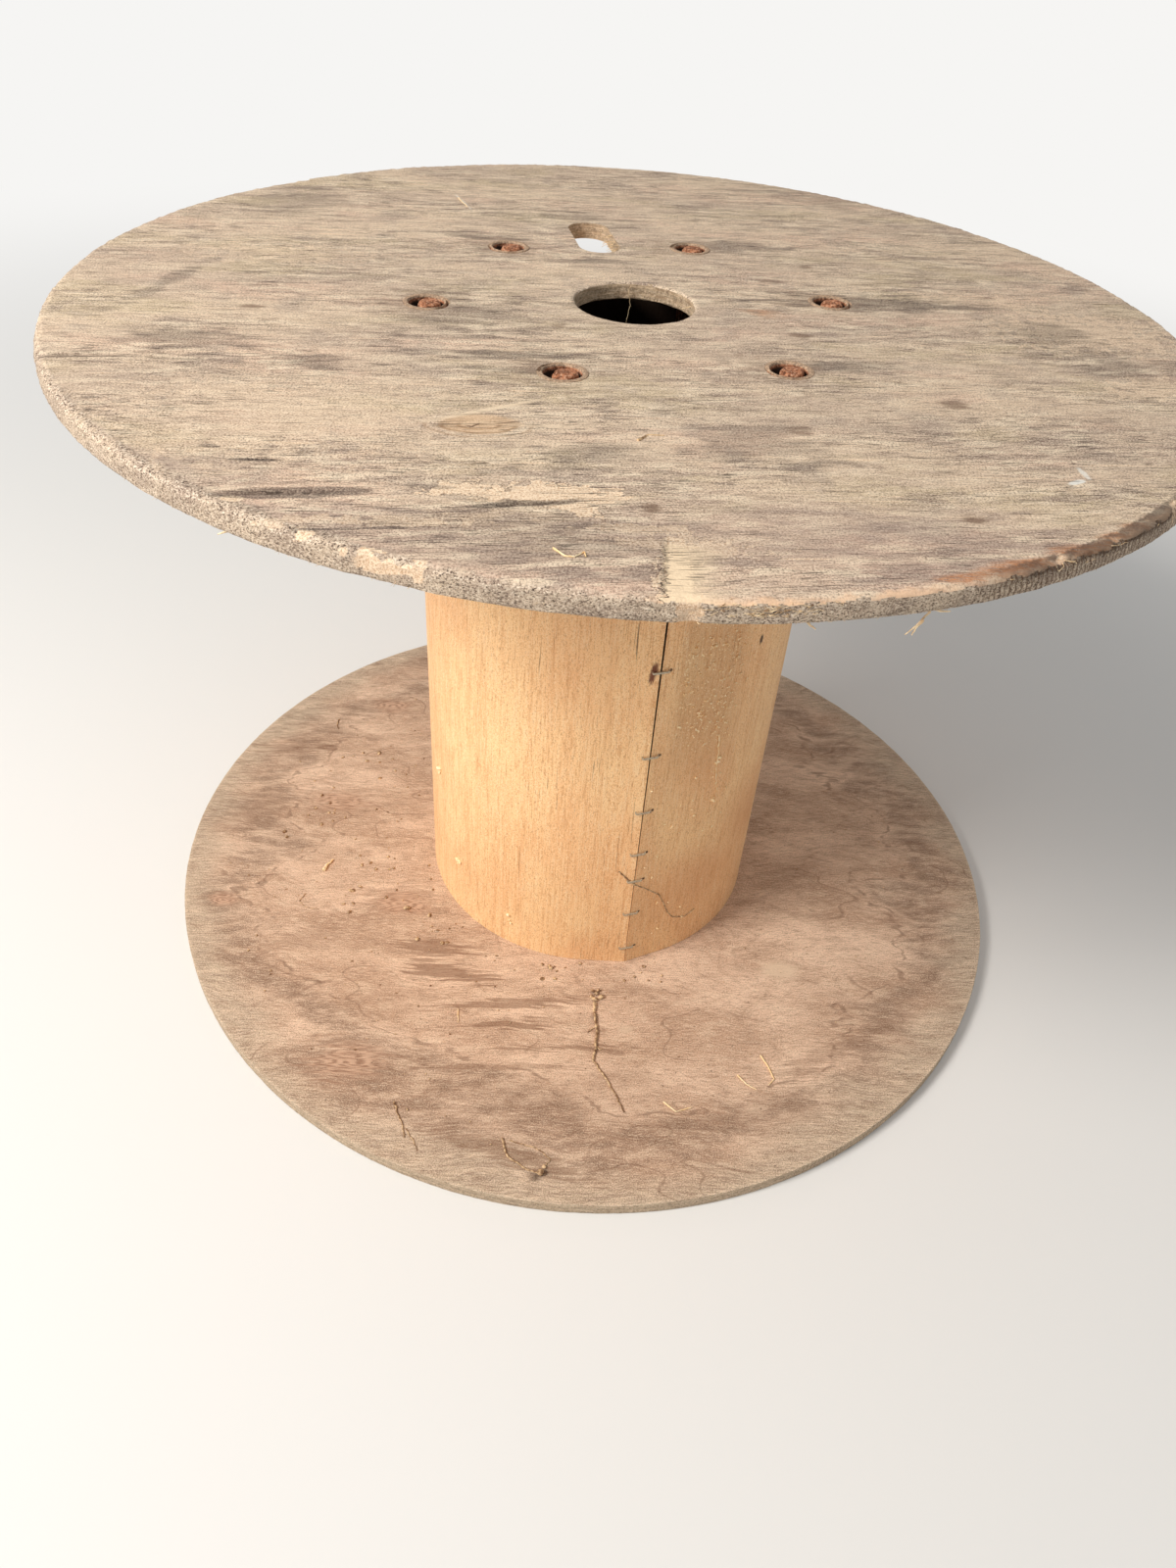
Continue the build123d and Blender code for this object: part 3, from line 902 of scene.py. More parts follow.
# %% [markdown]
# ## Mesh helpers
# Each piece starts as a bmesh, is shaped by operators, and becomes an object at the origin that
# rides with the drum's only body.

# %% Mesh helpers
def finish_piece(bm, name, finishes, replaced, smooth_angle):
    """Turn a bmesh into a piece of the drum; edges sharper than smooth_angle stay crisp."""
    mesh = bpy.data.meshes.new(name)
    bm.to_mesh(mesh)
    bm.free()
    for finish in finishes:
        mesh.materials.append(finish)
    mesh.shade_smooth()
    mesh.set_sharp_from_angle(angle=math.radians(smooth_angle))
    piece = bpy.data.objects.new(name, mesh)
    bpy.context.scene.collection.objects.link(piece)
    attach(piece, "root")
    if replaced:
        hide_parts(*replaced)
    mesh.calc_loop_triangles()
    print(name, "has", len(mesh.loop_triangles), "triangles")


def lathe(bm, profile, steps):
    """Spin a profile of (radius, height) points round the axis."""
    points = [bm.verts.new((radius, 0, height)) for radius, height in profile]
    lines = [bm.edges.new(pair) for pair in zip(points, points[1:])]
    bmesh.ops.spin(bm, geom=points + lines, cent=(0, 0, 0), axis=(0, 0, 1), angle=2 * math.pi,
                   steps=steps, use_merge=True)


def close_ends(bm):
    """Fill every open loop with one flat face, and turn all faces outwards."""
    open_edges = [edge for edge in bm.edges if edge.is_boundary]
    bmesh.ops.holes_fill(bm, edges=open_edges, sides=0)
    bmesh.ops.recalc_face_normals(bm, faces=bm.faces)


def rows(start, stop, count):
    """Evenly spaced values from start to stop, both included."""
    return [start + (stop - start) * step / count for step in range(count + 1)]


def pull_edges(bm, edges):
    """Extrude edges; hands back the new vertices and the new edges that join them."""
    grown = bmesh.ops.extrude_edge_only(bm, edges=edges)["geom"]
    verts = [item for item in grown if isinstance(item, bmesh.types.BMVert)]
    edges = [item for item in grown if isinstance(item, bmesh.types.BMEdge)
             and all(vert in verts for vert in item.verts)]
    return verts, edges


def turn_mesh(bm, angle, axis="Z", centre=(0, 0, 0)):
    bmesh.ops.rotate(bm, cent=centre, matrix=Matrix.Rotation(angle, 3, axis), verts=bm.verts)


def copy_into(target, source, place=(0, 0, 0), upside_down=False, turn=0.0):
    """Add one bmesh to another, turned over if asked, turned and placed, and free it."""
    mesh = bpy.data.meshes.new("copy")
    source.to_mesh(mesh)
    source.free()
    flip = Matrix.Rotation(math.pi, 4, "X") if upside_down else Matrix.Identity(4)
    mesh.transform(Matrix.Translation(place) @ flip @ Matrix.Rotation(turn, 4, "Z"))
    target.from_mesh(mesh)
    bpy.data.meshes.remove(mesh)


def on_rod(turn, height):
    """A point on the axis of the tie rod at this turn."""
    return Vector((rod_circle * math.cos(turn), rod_circle * math.sin(turn), height))


def carve(body, tool, operation):
    """Cut one closed bmesh by another with a Boolean modifier, and hand back the result."""
    parts = []
    for bm in (body, tool):
        mesh = bpy.data.meshes.new("carving")
        bm.to_mesh(mesh)
        bm.free()
        made = bpy.data.objects.new("carving", mesh)
        bpy.context.scene.collection.objects.link(made)
        parts.append(made)
    cut = parts[0].modifiers.new("cut", "BOOLEAN")
    cut.object = parts[1]
    cut.operation = operation
    cut.solver = "MANIFOLD"
    ready = parts[0].evaluated_get(bpy.context.evaluated_depsgraph_get())
    result = bmesh.new()
    result.from_mesh(ready.to_mesh())
    ready.to_mesh_clear()
    for made in parts:
        mesh = made.data
        bpy.data.objects.remove(made)
        bpy.data.meshes.remove(mesh)
    return result


# %% [markdown]
# ## Flanges
# A flange is sawn from a plywood sheet. The rim is spun from its section, so the round is exact.
# The two faces come from a slab with a fine grid that lies along the grain, long cells one way
# and narrow the other, because that is how wood wears. Slab and disc are intersected, and the
# holes are cut, before the relief is pushed in.

# %% Build a flange blank
spindle_radius = 41 * MM
spindle_arris = 1.2 * MM
spindle_steps, rim_steps, seat_steps = 160, 1000, 48
slot_radius = 16 * MM
slot_inner, slot_outer = 126 * MM, 173 * MM
slot_angle = math.radians(104)


def grain_slab(half, low, high, grain, top_cell, bottom_cell):
    """A square slab whose top and bottom carry grids of their own, cell is (along, across)."""
    halves = []
    for height, cell in ((high, top_cell), (low, bottom_cell)):
        bm = bmesh.new()
        bmesh.ops.create_grid(bm, x_segments=int(2 * half / cell[0]),
                              y_segments=int(2 * half / cell[1]), size=half)
        turn_mesh(bm, grain)
        bmesh.ops.translate(bm, vec=(0, 0, height), verts=bm.verts)
        open_edges = [edge for edge in bm.edges if edge.is_boundary]
        wall_verts = pull_edges(bm, open_edges)[0]
        reach = (low - 4 * MM if height == high else high + 4 * MM) - height
        bmesh.ops.translate(bm, vec=(0, 0, reach), verts=wall_verts)
        close_ends(bm)
        halves.append(bm)
    return halves


def spindle_tool(low, high):
    bm = bmesh.new()
    wall = [(spindle_radius, z) for z in rows(low + spindle_arris, high - spindle_arris, 8)]
    flare = spindle_radius + spindle_arris + 2 * MM
    lathe(bm, [(flare, low - 2 * MM)] + wall + [(flare, high + 2 * MM)], spindle_steps)
    close_ends(bm)
    return bm


def slot_tool(low, high):
    """A stadium-shaped cutter that straddles the barrel wall."""
    bm = bmesh.new()
    slot_rows = 9
    half_step = Matrix.Rotation(math.pi / 64, 4, "Z")
    bmesh.ops.create_circle(bm, cap_ends=False, segments=64, radius=slot_radius, matrix=half_step)
    for vert in bm.verts:
        vert.co.x += slot_outer if vert.co.x > 0 else slot_inner
    long_edges = [edge for edge in bm.edges if edge.calc_length() > 10 * MM]
    bmesh.ops.subdivide_edges(bm, edges=long_edges, cuts=14)
    bmesh.ops.translate(bm, vec=(0, 0, low - 2 * MM), verts=bm.verts)
    row_height = (high - low + 4 * MM) / slot_rows
    edges = bm.edges[:]
    for row in range(slot_rows):
        verts, edges = pull_edges(bm, edges)
        bmesh.ops.translate(bm, vec=(0, 0, row_height), verts=verts)
    close_ends(bm)
    turn_mesh(bm, slot_angle)
    return bm


def seat_tool(lip_height, way):
    """Six dished recesses for the washers, opening upwards (way 1) or downwards (way -1)."""
    bm = bmesh.new()
    for turn in rod_turns:
        one = bmesh.new()
        section = [(15.6, 4), (15.6, -1.5), (14.6, -1.6), (12.4, -9), (5.5, -9.1), (5.5, -18)]
        placed = [(radius * MM, lip_height + way * height * MM) for radius, height in section]
        lathe(one, placed, seat_steps)
        close_ends(one)
        copy_into(bm, one, on_rod(turn, 0))
    return bm


def flange_blank(low, high, shoulder, grain, top_cell, bottom_cell):
    """A plywood disc with a worn or sawn rim and its spindle hole."""
    bm = bmesh.new()
    arris = 1.0 * MM
    section = [(flange_radius - arris, low - 2 * MM), (flange_radius - arris, low)]
    section += [(flange_radius, z) for z in rows(low + arris, high - shoulder, 7)]
    for turn in rows(0, math.pi / 2, 5)[1:]:
        section.append((flange_radius - shoulder * (1 - math.cos(turn)),
                        high - shoulder * (1 - math.sin(turn))))
    section.append((section[-1][0], high + 2 * MM))
    lathe(bm, section, rim_steps)
    close_ends(bm)
    for slab in grain_slab(flange_radius * 1.05, low, high, grain, top_cell, bottom_cell):
        bm = carve(bm, slab, "INTERSECT")
    return carve(bm, spindle_tool(low, high), "DIFFERENCE")


# %% [markdown]
# The relief is made of the same drawn-out noise as the colours: slow swells, then ridges a few
# millimetres apart. The list of cracks says where the face has opened or where a veneer ends.
# Each vertex also keeps how sunk or how freshly torn it is, and the finishes read that; at the
# end of the veneer the sunk layer also holds a painted shadow at the foot of the step.

# %% Relief of the weathered flange
def grain_place(x, y, grain):
    """Coordinates in mm along and across the grain."""
    along = (x * math.cos(grain) + y * math.sin(grain)) / MM
    across = (-x * math.sin(grain) + y * math.cos(grain)) / MM
    return along, across


def smooth(value, start, stop):
    share = min(1.0, max(0.0, (value - start) / (stop - start)))
    return share * share * (3 - 2 * share)


def oval(x, y, mark):
    """How deep a place lies inside a mark: 1 in the middle, 0 at its outline and beyond."""
    middle_x, middle_y, length, width, turn = mark
    dx, dy = x / MM - middle_x, y / MM - middle_y
    turn = math.radians(turn)
    along = (dx * math.cos(turn) + dy * math.sin(turn)) / (length / 2)
    across = (-dx * math.sin(turn) + dy * math.cos(turn)) / (width / 2)
    return max(0.0, 1 - math.hypot(along, across))


top_cracks = [(-322, -171, 74, 3.6, 10), (-262, -162, 60, 2.6, 9), (35, -160, 26, 3, 8),
              (-179, -280, 34, 3.4, 10), (-42, -301, 50, 5, 20), (-157, -311, 64, 5, 12)]
torn_patch = (-30, -292, 92, 30, 8)


def weathered_relief(x, y):
    """Height, sunk and torn of a point of the top face, height in mm."""
    u, v = grain_place(x, y, top_grain)
    swell = noise.noise((u / 170, v / 80, 3.0)) * 0.22
    ridges = noise.noise((u / 60, v / 4.6, 7.0)) * 0.17
    ridges += noise.noise((u / 26, v / 2.1, 9.0)) * 0.14
    height = swell + ridges - 0.25
    sunk = 0.0
    torn = smooth(noise.noise((u / 60, v / 3.2, 31.0)), 0.46, 0.62) * 0.5
    for crack in top_cracks:
        depth = oval(x, y, crack)
        if depth > 0:
            open_share = smooth(noise.noise((u / 6, v / 2, 41.0)), -0.35, 0.1)
            height -= 1.3 * min(1.0, depth * 2.5) * open_share
            sunk = max(sunk, min(1.0, depth * 2.5) * open_share)
    patch = oval(x, y, torn_patch)
    if patch > 0:
        flake = smooth(patch + noise.noise((u / 9, v / 3.4, 51.0)) * 0.55, 0.22, 0.34)
        height -= 0.55 * flake
        torn = max(torn, flake * 0.9)
    distance = math.hypot(x, y) / MM
    if y < 0 and distance > 300 and abs(x / MM - veneer_end) < 70:
        edge = veneer_end + noise.noise((v / 2.4, 1.0, 61.0)) * 3.0
        past = x / MM - edge
        reach = smooth(distance, 318, 330)
        if past > 0:
            step = reach * (1 - smooth(past, 6, 46))
            height -= 0.75 * step
            torn = max(torn, reach * (1 - smooth(past, 3, 16)))
            # Painted shadow: a thin sunk line at the foot of the step, which the finish turns dark.
            sunk = max(sunk, reach * (1 - smooth(past, 0.0, 1.6)) * 0.7)
    return height, sunk, torn


fine_zones = [(30, -345, 90, 90, 0), (-30, -292, 110, 44, 8), (-300, -168, 140, 16, 10),
              (-157, -311, 90, 16, 12), (-42, -301, 70, 16, 20)]


def refine_face(bm, high):
    """Cut the long edges of the top face where cracks and torn veneer need finer cells."""
    long_edges = []
    for edge in bm.edges:
        middle = (edge.verts[0].co + edge.verts[1].co) / 2
        if middle.z < high - 0.1 * MM or edge.calc_length() < 2.6 * MM:
            continue
        near_rim = middle.y < 0.08 and math.hypot(middle.x, middle.y) > flange_radius - 12 * MM
        if near_rim or any(oval(middle.x, middle.y, zone) > 0 for zone in fine_zones):
            long_edges.append(edge)
    bmesh.ops.subdivide_edges(bm, edges=long_edges, cuts=2)
    bmesh.ops.triangulate(bm, faces=[face for face in bm.faces if len(face.verts) > 4])


def rim_wear(angle):
    """How worn the rim is at an angle in degrees: most at the front left, least at the back."""
    front_left = smooth(abs((angle + 118 + 180) % 360 - 180), 80, 20)
    wave = noise.noise((math.cos(math.radians(angle)) * 6, math.sin(math.radians(angle)) * 6, 71.0))
    return 0.35 + 0.65 * front_left + 0.25 * wave


def chewed_share(angle):
    return smooth(angle, rim_bite_from, rim_bite_from + 8) * smooth(angle, rim_bite_to, rim_bite_to - 8)


def wear_rim(vert, place, angle, inside, height, sunk_layer, torn_layer):
    """Round, chew and chip a vertex that is inside mm from the rim, at height 0 to 1 of the ply."""
    x, y, z = place
    wear = rim_wear(angle)
    rounding = smooth(inside, 2.5 + 3.0 * wear, 0.0) * wear
    vert.co.z -= rounding * 1.1 * smooth(height, 0.35, 1.0) * MM
    slant = 2.2 * smooth(height, 0.2, 1.0) + 0.6 * smooth(height, 0.8, 0.3)
    inset = slant * wear * MM * smooth(inside, 8, 2)

    bite = chewed_share(angle)
    gnaw = noise.noise((x * 60, y * 60, z * 160)) + 0.6 * noise.noise((x * 210, y * 210, z * 260))
    chew = bite * max(0.0, 0.15 + gnaw * 0.8)
    inset += smooth(height, 0.25, 0.9) * chew * 4.0 * MM * smooth(inside, 9, 3)
    vert.co.z -= chew * 1.2 * smooth(height, 0.6, 1.0) * smooth(inside, 8, 2) * MM
    dark = bite * smooth(height, 0.5, 0.9) * smooth(chew, 0.7, 0.2)
    vert[sunk_layer] = max(vert[sunk_layer], dark)

    chip = smooth(abs(angle + 84.6), 1.0, 0.5) + 0.8 * smooth(abs(angle + 104.9), 3.4, 1.5)
    inset += chip * (1.2 + gnaw) * MM * smooth(inside, 8, 3)
    fresh = chip * smooth(gnaw, -0.5, 0.1) * smooth(height, 0.2, 0.4)
    vert[torn_layer] = max(vert[torn_layer], 0.8 * bite * smooth(chew, 0.35, 0.8), fresh)
    if 139 < angle < 152:
        inset += 2.4 * MM * smooth(angle, 152, 140) * smooth(inside, 8, 3)
    return inset


def press_relief(bm, low, high, face_relief, back_relief, edge_depth, worn):
    """Move every vertex by the relief of the side it is on; fills the sunk and torn layers."""
    sunk_layer = bm.verts.layers.float.new("sunk")
    torn_layer = bm.verts.layers.float.new("torn")
    reach = flange_radius - 0.2 * MM
    for vert in bm.verts:
        x, y, z = vert.co
        distance = math.hypot(x, y)
        angle = math.degrees(math.atan2(y, x))
        outward = Vector((x, y, 0)) / distance
        over_the_rim = worn and z > high - 3 * MM and distance > flange_radius - 8 * MM
        if z > high - 0.15 * MM or over_the_rim:
            rise, sunk, torn = face_relief(x, y)
            near_rim = smooth(flange_radius - distance, 12 * MM, 5 * MM) if worn else 0.0
            lumps = noise.noise((x * 170, y * 170, 1.0)) * 0.5
            lumps += noise.noise((x * 420, y * 420, 4.0)) * 0.35
            vert.co.z += (rise * (1 - near_rim) + (lumps - 0.35) * near_rim) * MM
            vert[sunk_layer], vert[torn_layer] = sunk * (1 - near_rim), torn * (1 - near_rim)
        elif z < low + 0.15 * MM:
            vert.co.z -= min(0.0, back_relief(x, y)) * MM
        if distance > flange_radius - 9 * MM:
            height = (z - low) / (high - low)
            ply = noise.noise((x * 60, y * 60, z * 420))
            ply += noise.noise((x * 260, y * 260, z * 380)) * 0.9
            fade_in = smooth(flange_radius - distance, 9 * MM, 4 * MM)
            inset = edge_depth * (0.5 + 0.5 * ply) * fade_in * MM
            if worn:
                inside = (flange_radius - distance) / MM
                inset += wear_rim(vert, (x, y, z), angle, inside, height, sunk_layer, torn_layer)
            vert.co -= outward * min(inset, 8 * MM)
        elif distance < spindle_radius + 3 * MM:
            fuzz = noise.noise((x * 500, y * 500, z * 260)) * 0.5
            fuzz += noise.noise((x * 120, y * 120, z * 900)) * 0.5
            vert.co += outward * max(0.0, 0.35 + fuzz) * edge_depth * MM
        planar = math.hypot(vert.co.x, vert.co.y)
        if planar > reach:
            vert.co.x *= reach / planar
            vert.co.y *= reach / planar


def paint_sides(bm, low, high):
    """Face finish 0 on the top, edge finish 1 on the rim, 2 underneath and 3 in the holes."""
    for face in bm.faces:
        middle = face.calc_center_median()
        flat = abs(face.normal.z) > 0.9
        ragged_line = 1.3 + 2.2 * noise.noise((middle.x * 150, middle.y * 150, 2.0))
        on_top = flat and middle.z > high - 0.2 * MM
        over_the_arris = face.normal.z > 0.2 and middle.z > high - ragged_line * MM
        if on_top or over_the_arris:
            face.material_index = 0
        elif flat and middle.z < low + 0.2 * MM:
            face.material_index = 2
        elif math.hypot(middle.x, middle.y) < flange_radius / 2:
            face.material_index = 3
        else:
            face.material_index = 1


# %% [markdown]
# The top flange has a slot for the cable's end and six dished seats for its washers. Its relief
# comes last, so that the wear runs over every arris.

# %% Top flange
def plain_back(x, y):
    u, v = grain_place(x, y, 0.1)
    return noise.noise((u / 90, v / 9, 13.0)) * 0.2 - 0.2


fine_cell, coarse_cell = (5.2 * MM, 1.75 * MM), (14 * MM, 5 * MM)
blank = flange_blank(top_underside, top_face, 2.4 * MM, top_grain, fine_cell, coarse_cell)
blank = carve(blank, slot_tool(top_underside, top_face), "DIFFERENCE")
blank = carve(blank, seat_tool(top_face + 0.5 * MM, 1), "DIFFERENCE")
paint_sides(blank, top_underside, top_face)
refine_face(blank, top_face)
press_relief(blank, top_underside, top_face, weathered_relief, plain_back, 0.9, True)
top_finishes = [weathered_face_finish, top_edge_finish, underside_finish, hole_edge_finish]
finish_piece(blank, "top_flange_worn", top_finishes, ["top_flange"], 50)

# %% [markdown]
# The bottom flange is the same disc with a sharper, cleaner rim, and its washers sit in the
# underside. Only a few drying cracks and dirt lines cross its face.

# %% Bottom flange
bottom_cracks = [(18, -190, 44, 3.0, -86), (20, -225, 40, 2.6, -80), (-15, -358, 14, 8, 70)]


def peeled_relief(x, y):
    u, v = grain_place(x, y, bottom_grain)
    swell = noise.noise((u / 150, v / 60, 15.0)) * 0.2
    ridges = noise.noise((u / 30, v / 3.4, 17.0)) * 0.1
    height = swell + ridges - 0.2
    sunk = 0.0
    for crack in bottom_cracks:
        depth = min(1.0, oval(x, y, crack) * 2.5)
        height -= 0.8 * depth
        sunk = max(sunk, depth)
    return height, sunk, 0.0


fine_cell, coarse_cell = (6 * MM, 2.4 * MM), (14 * MM, 6 * MM)
blank = flange_blank(0.0, bottom_face, 1.0 * MM, bottom_grain, fine_cell, coarse_cell)
blank = carve(blank, seat_tool(0.7 * MM, -1), "DIFFERENCE")
paint_sides(blank, 0.0, bottom_face)
bmesh.ops.triangulate(blank, faces=[face for face in blank.faces if len(face.verts) > 4])
press_relief(blank, 0.0, bottom_face, peeled_relief, plain_back, 0.5, False)
bottom_finishes = [peeled_face_finish, bottom_edge_finish, underside_finish, bottom_edge_finish]
finish_piece(blank, "bottom_flange_worn", bottom_finishes, ["bottom_flange"], 50)

# %% [markdown]
# ## Barrel
# One thin sheet is bent round and its two edges spring straight until they meet in a low ridge
# at the seam. A column of vertices is spun round the tube, then drawn straight to the ridge at
# both ends, and the surface gets its thickness inwards.

# %% Barrel
barrel_radius = 149.5 * MM
sheet_thickness = 3.0 * MM
spring_angle = math.radians(12.5)
ridge_radius = barrel_radius / math.cos(spring_angle)
gap_foot, gap_head = 0.5 * MM, 2.2 * MM
barrel_foot, barrel_head = bottom_face, top_underside
barrel_rows, barrel_steps, spring_steps = 72, 330, 12


def build_barrel():
    """The bent sheet, its seam at angle 0."""
    bm = bmesh.new()
    spring = Vector((barrel_radius * math.cos(spring_angle), barrel_radius * math.sin(spring_angle), 0))
    column = [bm.verts.new(spring + Vector((0, 0, z)))
              for z in rows(barrel_foot, barrel_head, barrel_rows)]
    lines = [bm.edges.new(pair) for pair in zip(column, column[1:])]
    bmesh.ops.spin(bm, geom=column + lines, cent=(0, 0, 0), axis=(0, 0, 1),
                   angle=2 * math.pi - 2 * spring_angle, steps=barrel_steps)
    for side in (1, -1):
        edge_x, edge_y = spring.x, side * spring.y
        ends = [edge for edge in bm.edges if edge.is_boundary
                and all(math.hypot(v.co.x - edge_x, v.co.y - edge_y) < 0.01 * MM for v in edge.verts)]
        reach = Vector((ridge_radius - spring.x, -side * spring.y, 0)) / spring_steps
        for step in range(spring_steps):
            verts, ends = pull_edges(bm, ends)
            bmesh.ops.translate(bm, vec=reach, verts=verts)
        for vert in verts:
            share = (vert.co.z - barrel_foot) / (barrel_head - barrel_foot)
            half_gap = (gap_foot + (gap_head - gap_foot) * share) / 2
            vert.co.y = side * half_gap
            vert.co.x -= half_gap * math.tan(spring_angle)
    bmesh.ops.recalc_face_normals(bm, faces=bm.faces)
    faces_inwards = bm.faces[0].normal.dot(bm.faces[0].calc_center_median()) < 0
    if faces_inwards:
        bmesh.ops.reverse_faces(bm, faces=bm.faces)
    bmesh.ops.solidify(bm, geom=bm.faces[:] + bm.edges[:] + bm.verts[:], thickness=sheet_thickness)
    bmesh.ops.recalc_face_normals(bm, faces=bm.faces)
    return bm


def veneer_relief(bm):
    """Push fine ridges into the outside; fills the dusty layer, and the inner layer that the finish
    paints as shade.
    """
    dusty_layer = bm.verts.layers.float.new("dusty")
    inside_shade_layer = bm.verts.layers.float.new("inner")
    for vert in bm.verts:
        x, y, z = vert.co
        angle = math.degrees(math.atan2(y, x))
        outward = Vector((x, y, 0)).normalized()
        ridges = noise.noise((angle * 0.9, z * 6, 5.0)) * 0.14
        ridges += noise.noise((angle * 2.4, z * 12, 8.0)) * 0.07
        swell = noise.noise((x * 14, y * 14, z * 5)) * 0.25
        # Vertices on the inside are marked for painted shade.
        if math.hypot(x, y) < barrel_radius - 1.5 * MM:
            vert[inside_shade_layer] = 1.0
        else:
            near_end = smooth(min(z - barrel_foot, barrel_head - z), 0.0, 4 * MM)
            vert.co += outward * (ridges + swell - 0.2) * MM * near_end
            in_patch = smooth(angle, 3, 9) * smooth(angle, 34, 22)
            vert[dusty_layer] = in_patch * smooth(z, 190 * MM, 290 * MM)


barrel_mesh = build_barrel()
veneer_relief(barrel_mesh)
turn_mesh(barrel_mesh, seam_angle)
finish_piece(barrel_mesh, "barrel_sheet", [barrel_finish], ["barrel"], 50)

# %% [markdown]
# ## Washers and nuts
# The washers are pressed dishes, spun from their section. The nuts have rusted into lumps: a
# hexagon is bevelled, divided and pushed about by noise, and the rod end on top goes with it.

# %% Rusted washers and nuts
washer_section = [(15.4, -0.25), (14.9, 0), (14.2, 0.0), (13.4, 0.0), (12.8, 0.02), (12.4, -0.2),
                  (12.1, -0.8), (11.8, -2.0), (11.5, -3.8), (11.2, -5.8), (10.6, -7.1), (9.0, -7.5),
                  (7.2, -7.5), (5.5, -7.5), (5.5, -8.9), (9.0, -9.0), (12.2, -9.0), (12.8, -6.4),
                  (14.3, -2.6), (15.4, -1.9)]
washer_steps = 56


def roughen(bm, size_mm, depth_mm, seed):
    """Push vertices along their normals, as rust scale swells and pits a surface."""
    bm.normal_update()
    for vert in bm.verts:
        spot = vert.co / (size_mm * MM) + Vector((seed, seed * 2, 0))
        crust = noise.noise(spot) + 0.5 * noise.noise(spot * 2.3)
        vert.co += vert.normal * crust * depth_mm * MM


def build_washers(lip_height, upside_down):
    bm = bmesh.new()
    for count, turn in enumerate(rod_turns):
        one = bmesh.new()
        closed = [(radius * MM, height * MM) for radius, height in washer_section]
        lathe(one, closed + closed[:1], washer_steps)
        bmesh.ops.remove_doubles(one, verts=one.verts, dist=0.001 * MM)
        bmesh.ops.recalc_face_normals(one, faces=one.faces)
        if not upside_down:
            turn_mesh(one, -turn)
            for vert in one.verts:
                out = math.hypot(vert.co.x, vert.co.y)
                side = math.cos(math.atan2(vert.co.y, vert.co.x) - turn + math.radians(25))
                hollow = smooth(out, 12.7 * MM, 13.5 * MM) * smooth(out, 15.6 * MM, 14.8 * MM)
                bent = hollow * smooth(side, 0.35, 0.8) * smooth(vert.co.z, -1.0 * MM, 0)
                vert.co.z -= 2.6 * MM * bent
        roughen(one, 2.6, 0.16, 3.0 + count)
        copy_into(bm, one, on_rod(turn, lip_height), upside_down, turn)
    return bm


def build_nut(seed):
    """A hexagon nut with the rod end, swollen by rust, standing on height 0."""
    bm = bmesh.new()
    nut_height, corner = 7.2 * MM, 8.5 * MM
    bmesh.ops.create_cone(bm, cap_ends=True, segments=6, radius1=corner, radius2=corner,
                          depth=nut_height, matrix=Matrix.Translation((0, 0, nut_height / 2)))
    bmesh.ops.bevel(bm, geom=bm.edges[:], offset=2.3 * MM, affect="EDGES", segments=4, profile=0.5,
                    material=-1)
    top = max(bm.faces, key=lambda face: face.calc_center_median().z)
    bmesh.ops.inset_region(bm, faces=[top], thickness=1.6 * MM, depth=0)
    bmesh.ops.inset_region(bm, faces=[top], thickness=0.5 * MM, depth=0)
    bmesh.ops.translate(bm, vec=(0, 0, 0.25 * MM), verts=top.verts)
    bmesh.ops.triangulate(bm, faces=bm.faces)
    for halving in range(2):
        long_edges = [edge for edge in bm.edges if edge.calc_length() > 1.2 * MM]
        bmesh.ops.subdivide_edges(bm, edges=long_edges, cuts=1, use_grid_fill=True)
        bmesh.ops.triangulate(bm, faces=bm.faces)
    for smoothing in range(2):
        bmesh.ops.smooth_vert(bm, verts=bm.verts, factor=0.5, use_axis_x=True, use_axis_y=True,
                              use_axis_z=True)
    roughen(bm, 3.2, 0.42, seed)
    return bm


nut_tilt = math.radians(-9)
nut_shift = 1.7 * MM


def build_nuts(seat_height, upside_down, seed):
    bm = bmesh.new()
    for count, turn in enumerate(rod_turns):
        one = build_nut(seed + count * 1.7)
        turn_mesh(one, count * 0.4)
        place = on_rod(turn, seat_height)
        if upside_down:
            copy_into(bm, one, place, True, turn)
        else:
            turn_mesh(one, nut_tilt, "Y", (0, 0, 4 * MM))
            place.x += nut_shift
            copy_into(bm, one, place)
    return bm


top_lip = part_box("top_washers")[1].z - 0.15 * MM
bottom_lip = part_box("bottom_washers")[0].z + 0.15 * MM
top_seat, highest = [corner.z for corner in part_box("top_nuts")]
bottom_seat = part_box("bottom_nuts")[1].z
for node_name, bm, finish in (
        ("top_washers", build_washers(top_lip, False), washer_finish),
        ("bottom_washers", build_washers(bottom_lip, True), underside_rust_finish),
        ("top_nuts", build_nuts(top_seat, False, 5.0), nut_finish),
        ("bottom_nuts", build_nuts(bottom_seat, True, 23.0), underside_rust_finish)):
    for vert in bm.verts:
        vert.co.z = min(max(vert.co.z, 0.1 * MM), highest)
    finish_piece(bm, node_name + "_rusted", [finish], [node_name], 60)

# %% [markdown]
# ## Torn fibres and dirt
# Splinters hang from the rim, fibres fray in the slot, and dry roots, shavings and crumbs lie
# on the drum. All of them are thin tubes that follow a few points, or small broken lumps.

# %% Strands and crumbs
chance = random.Random(11)


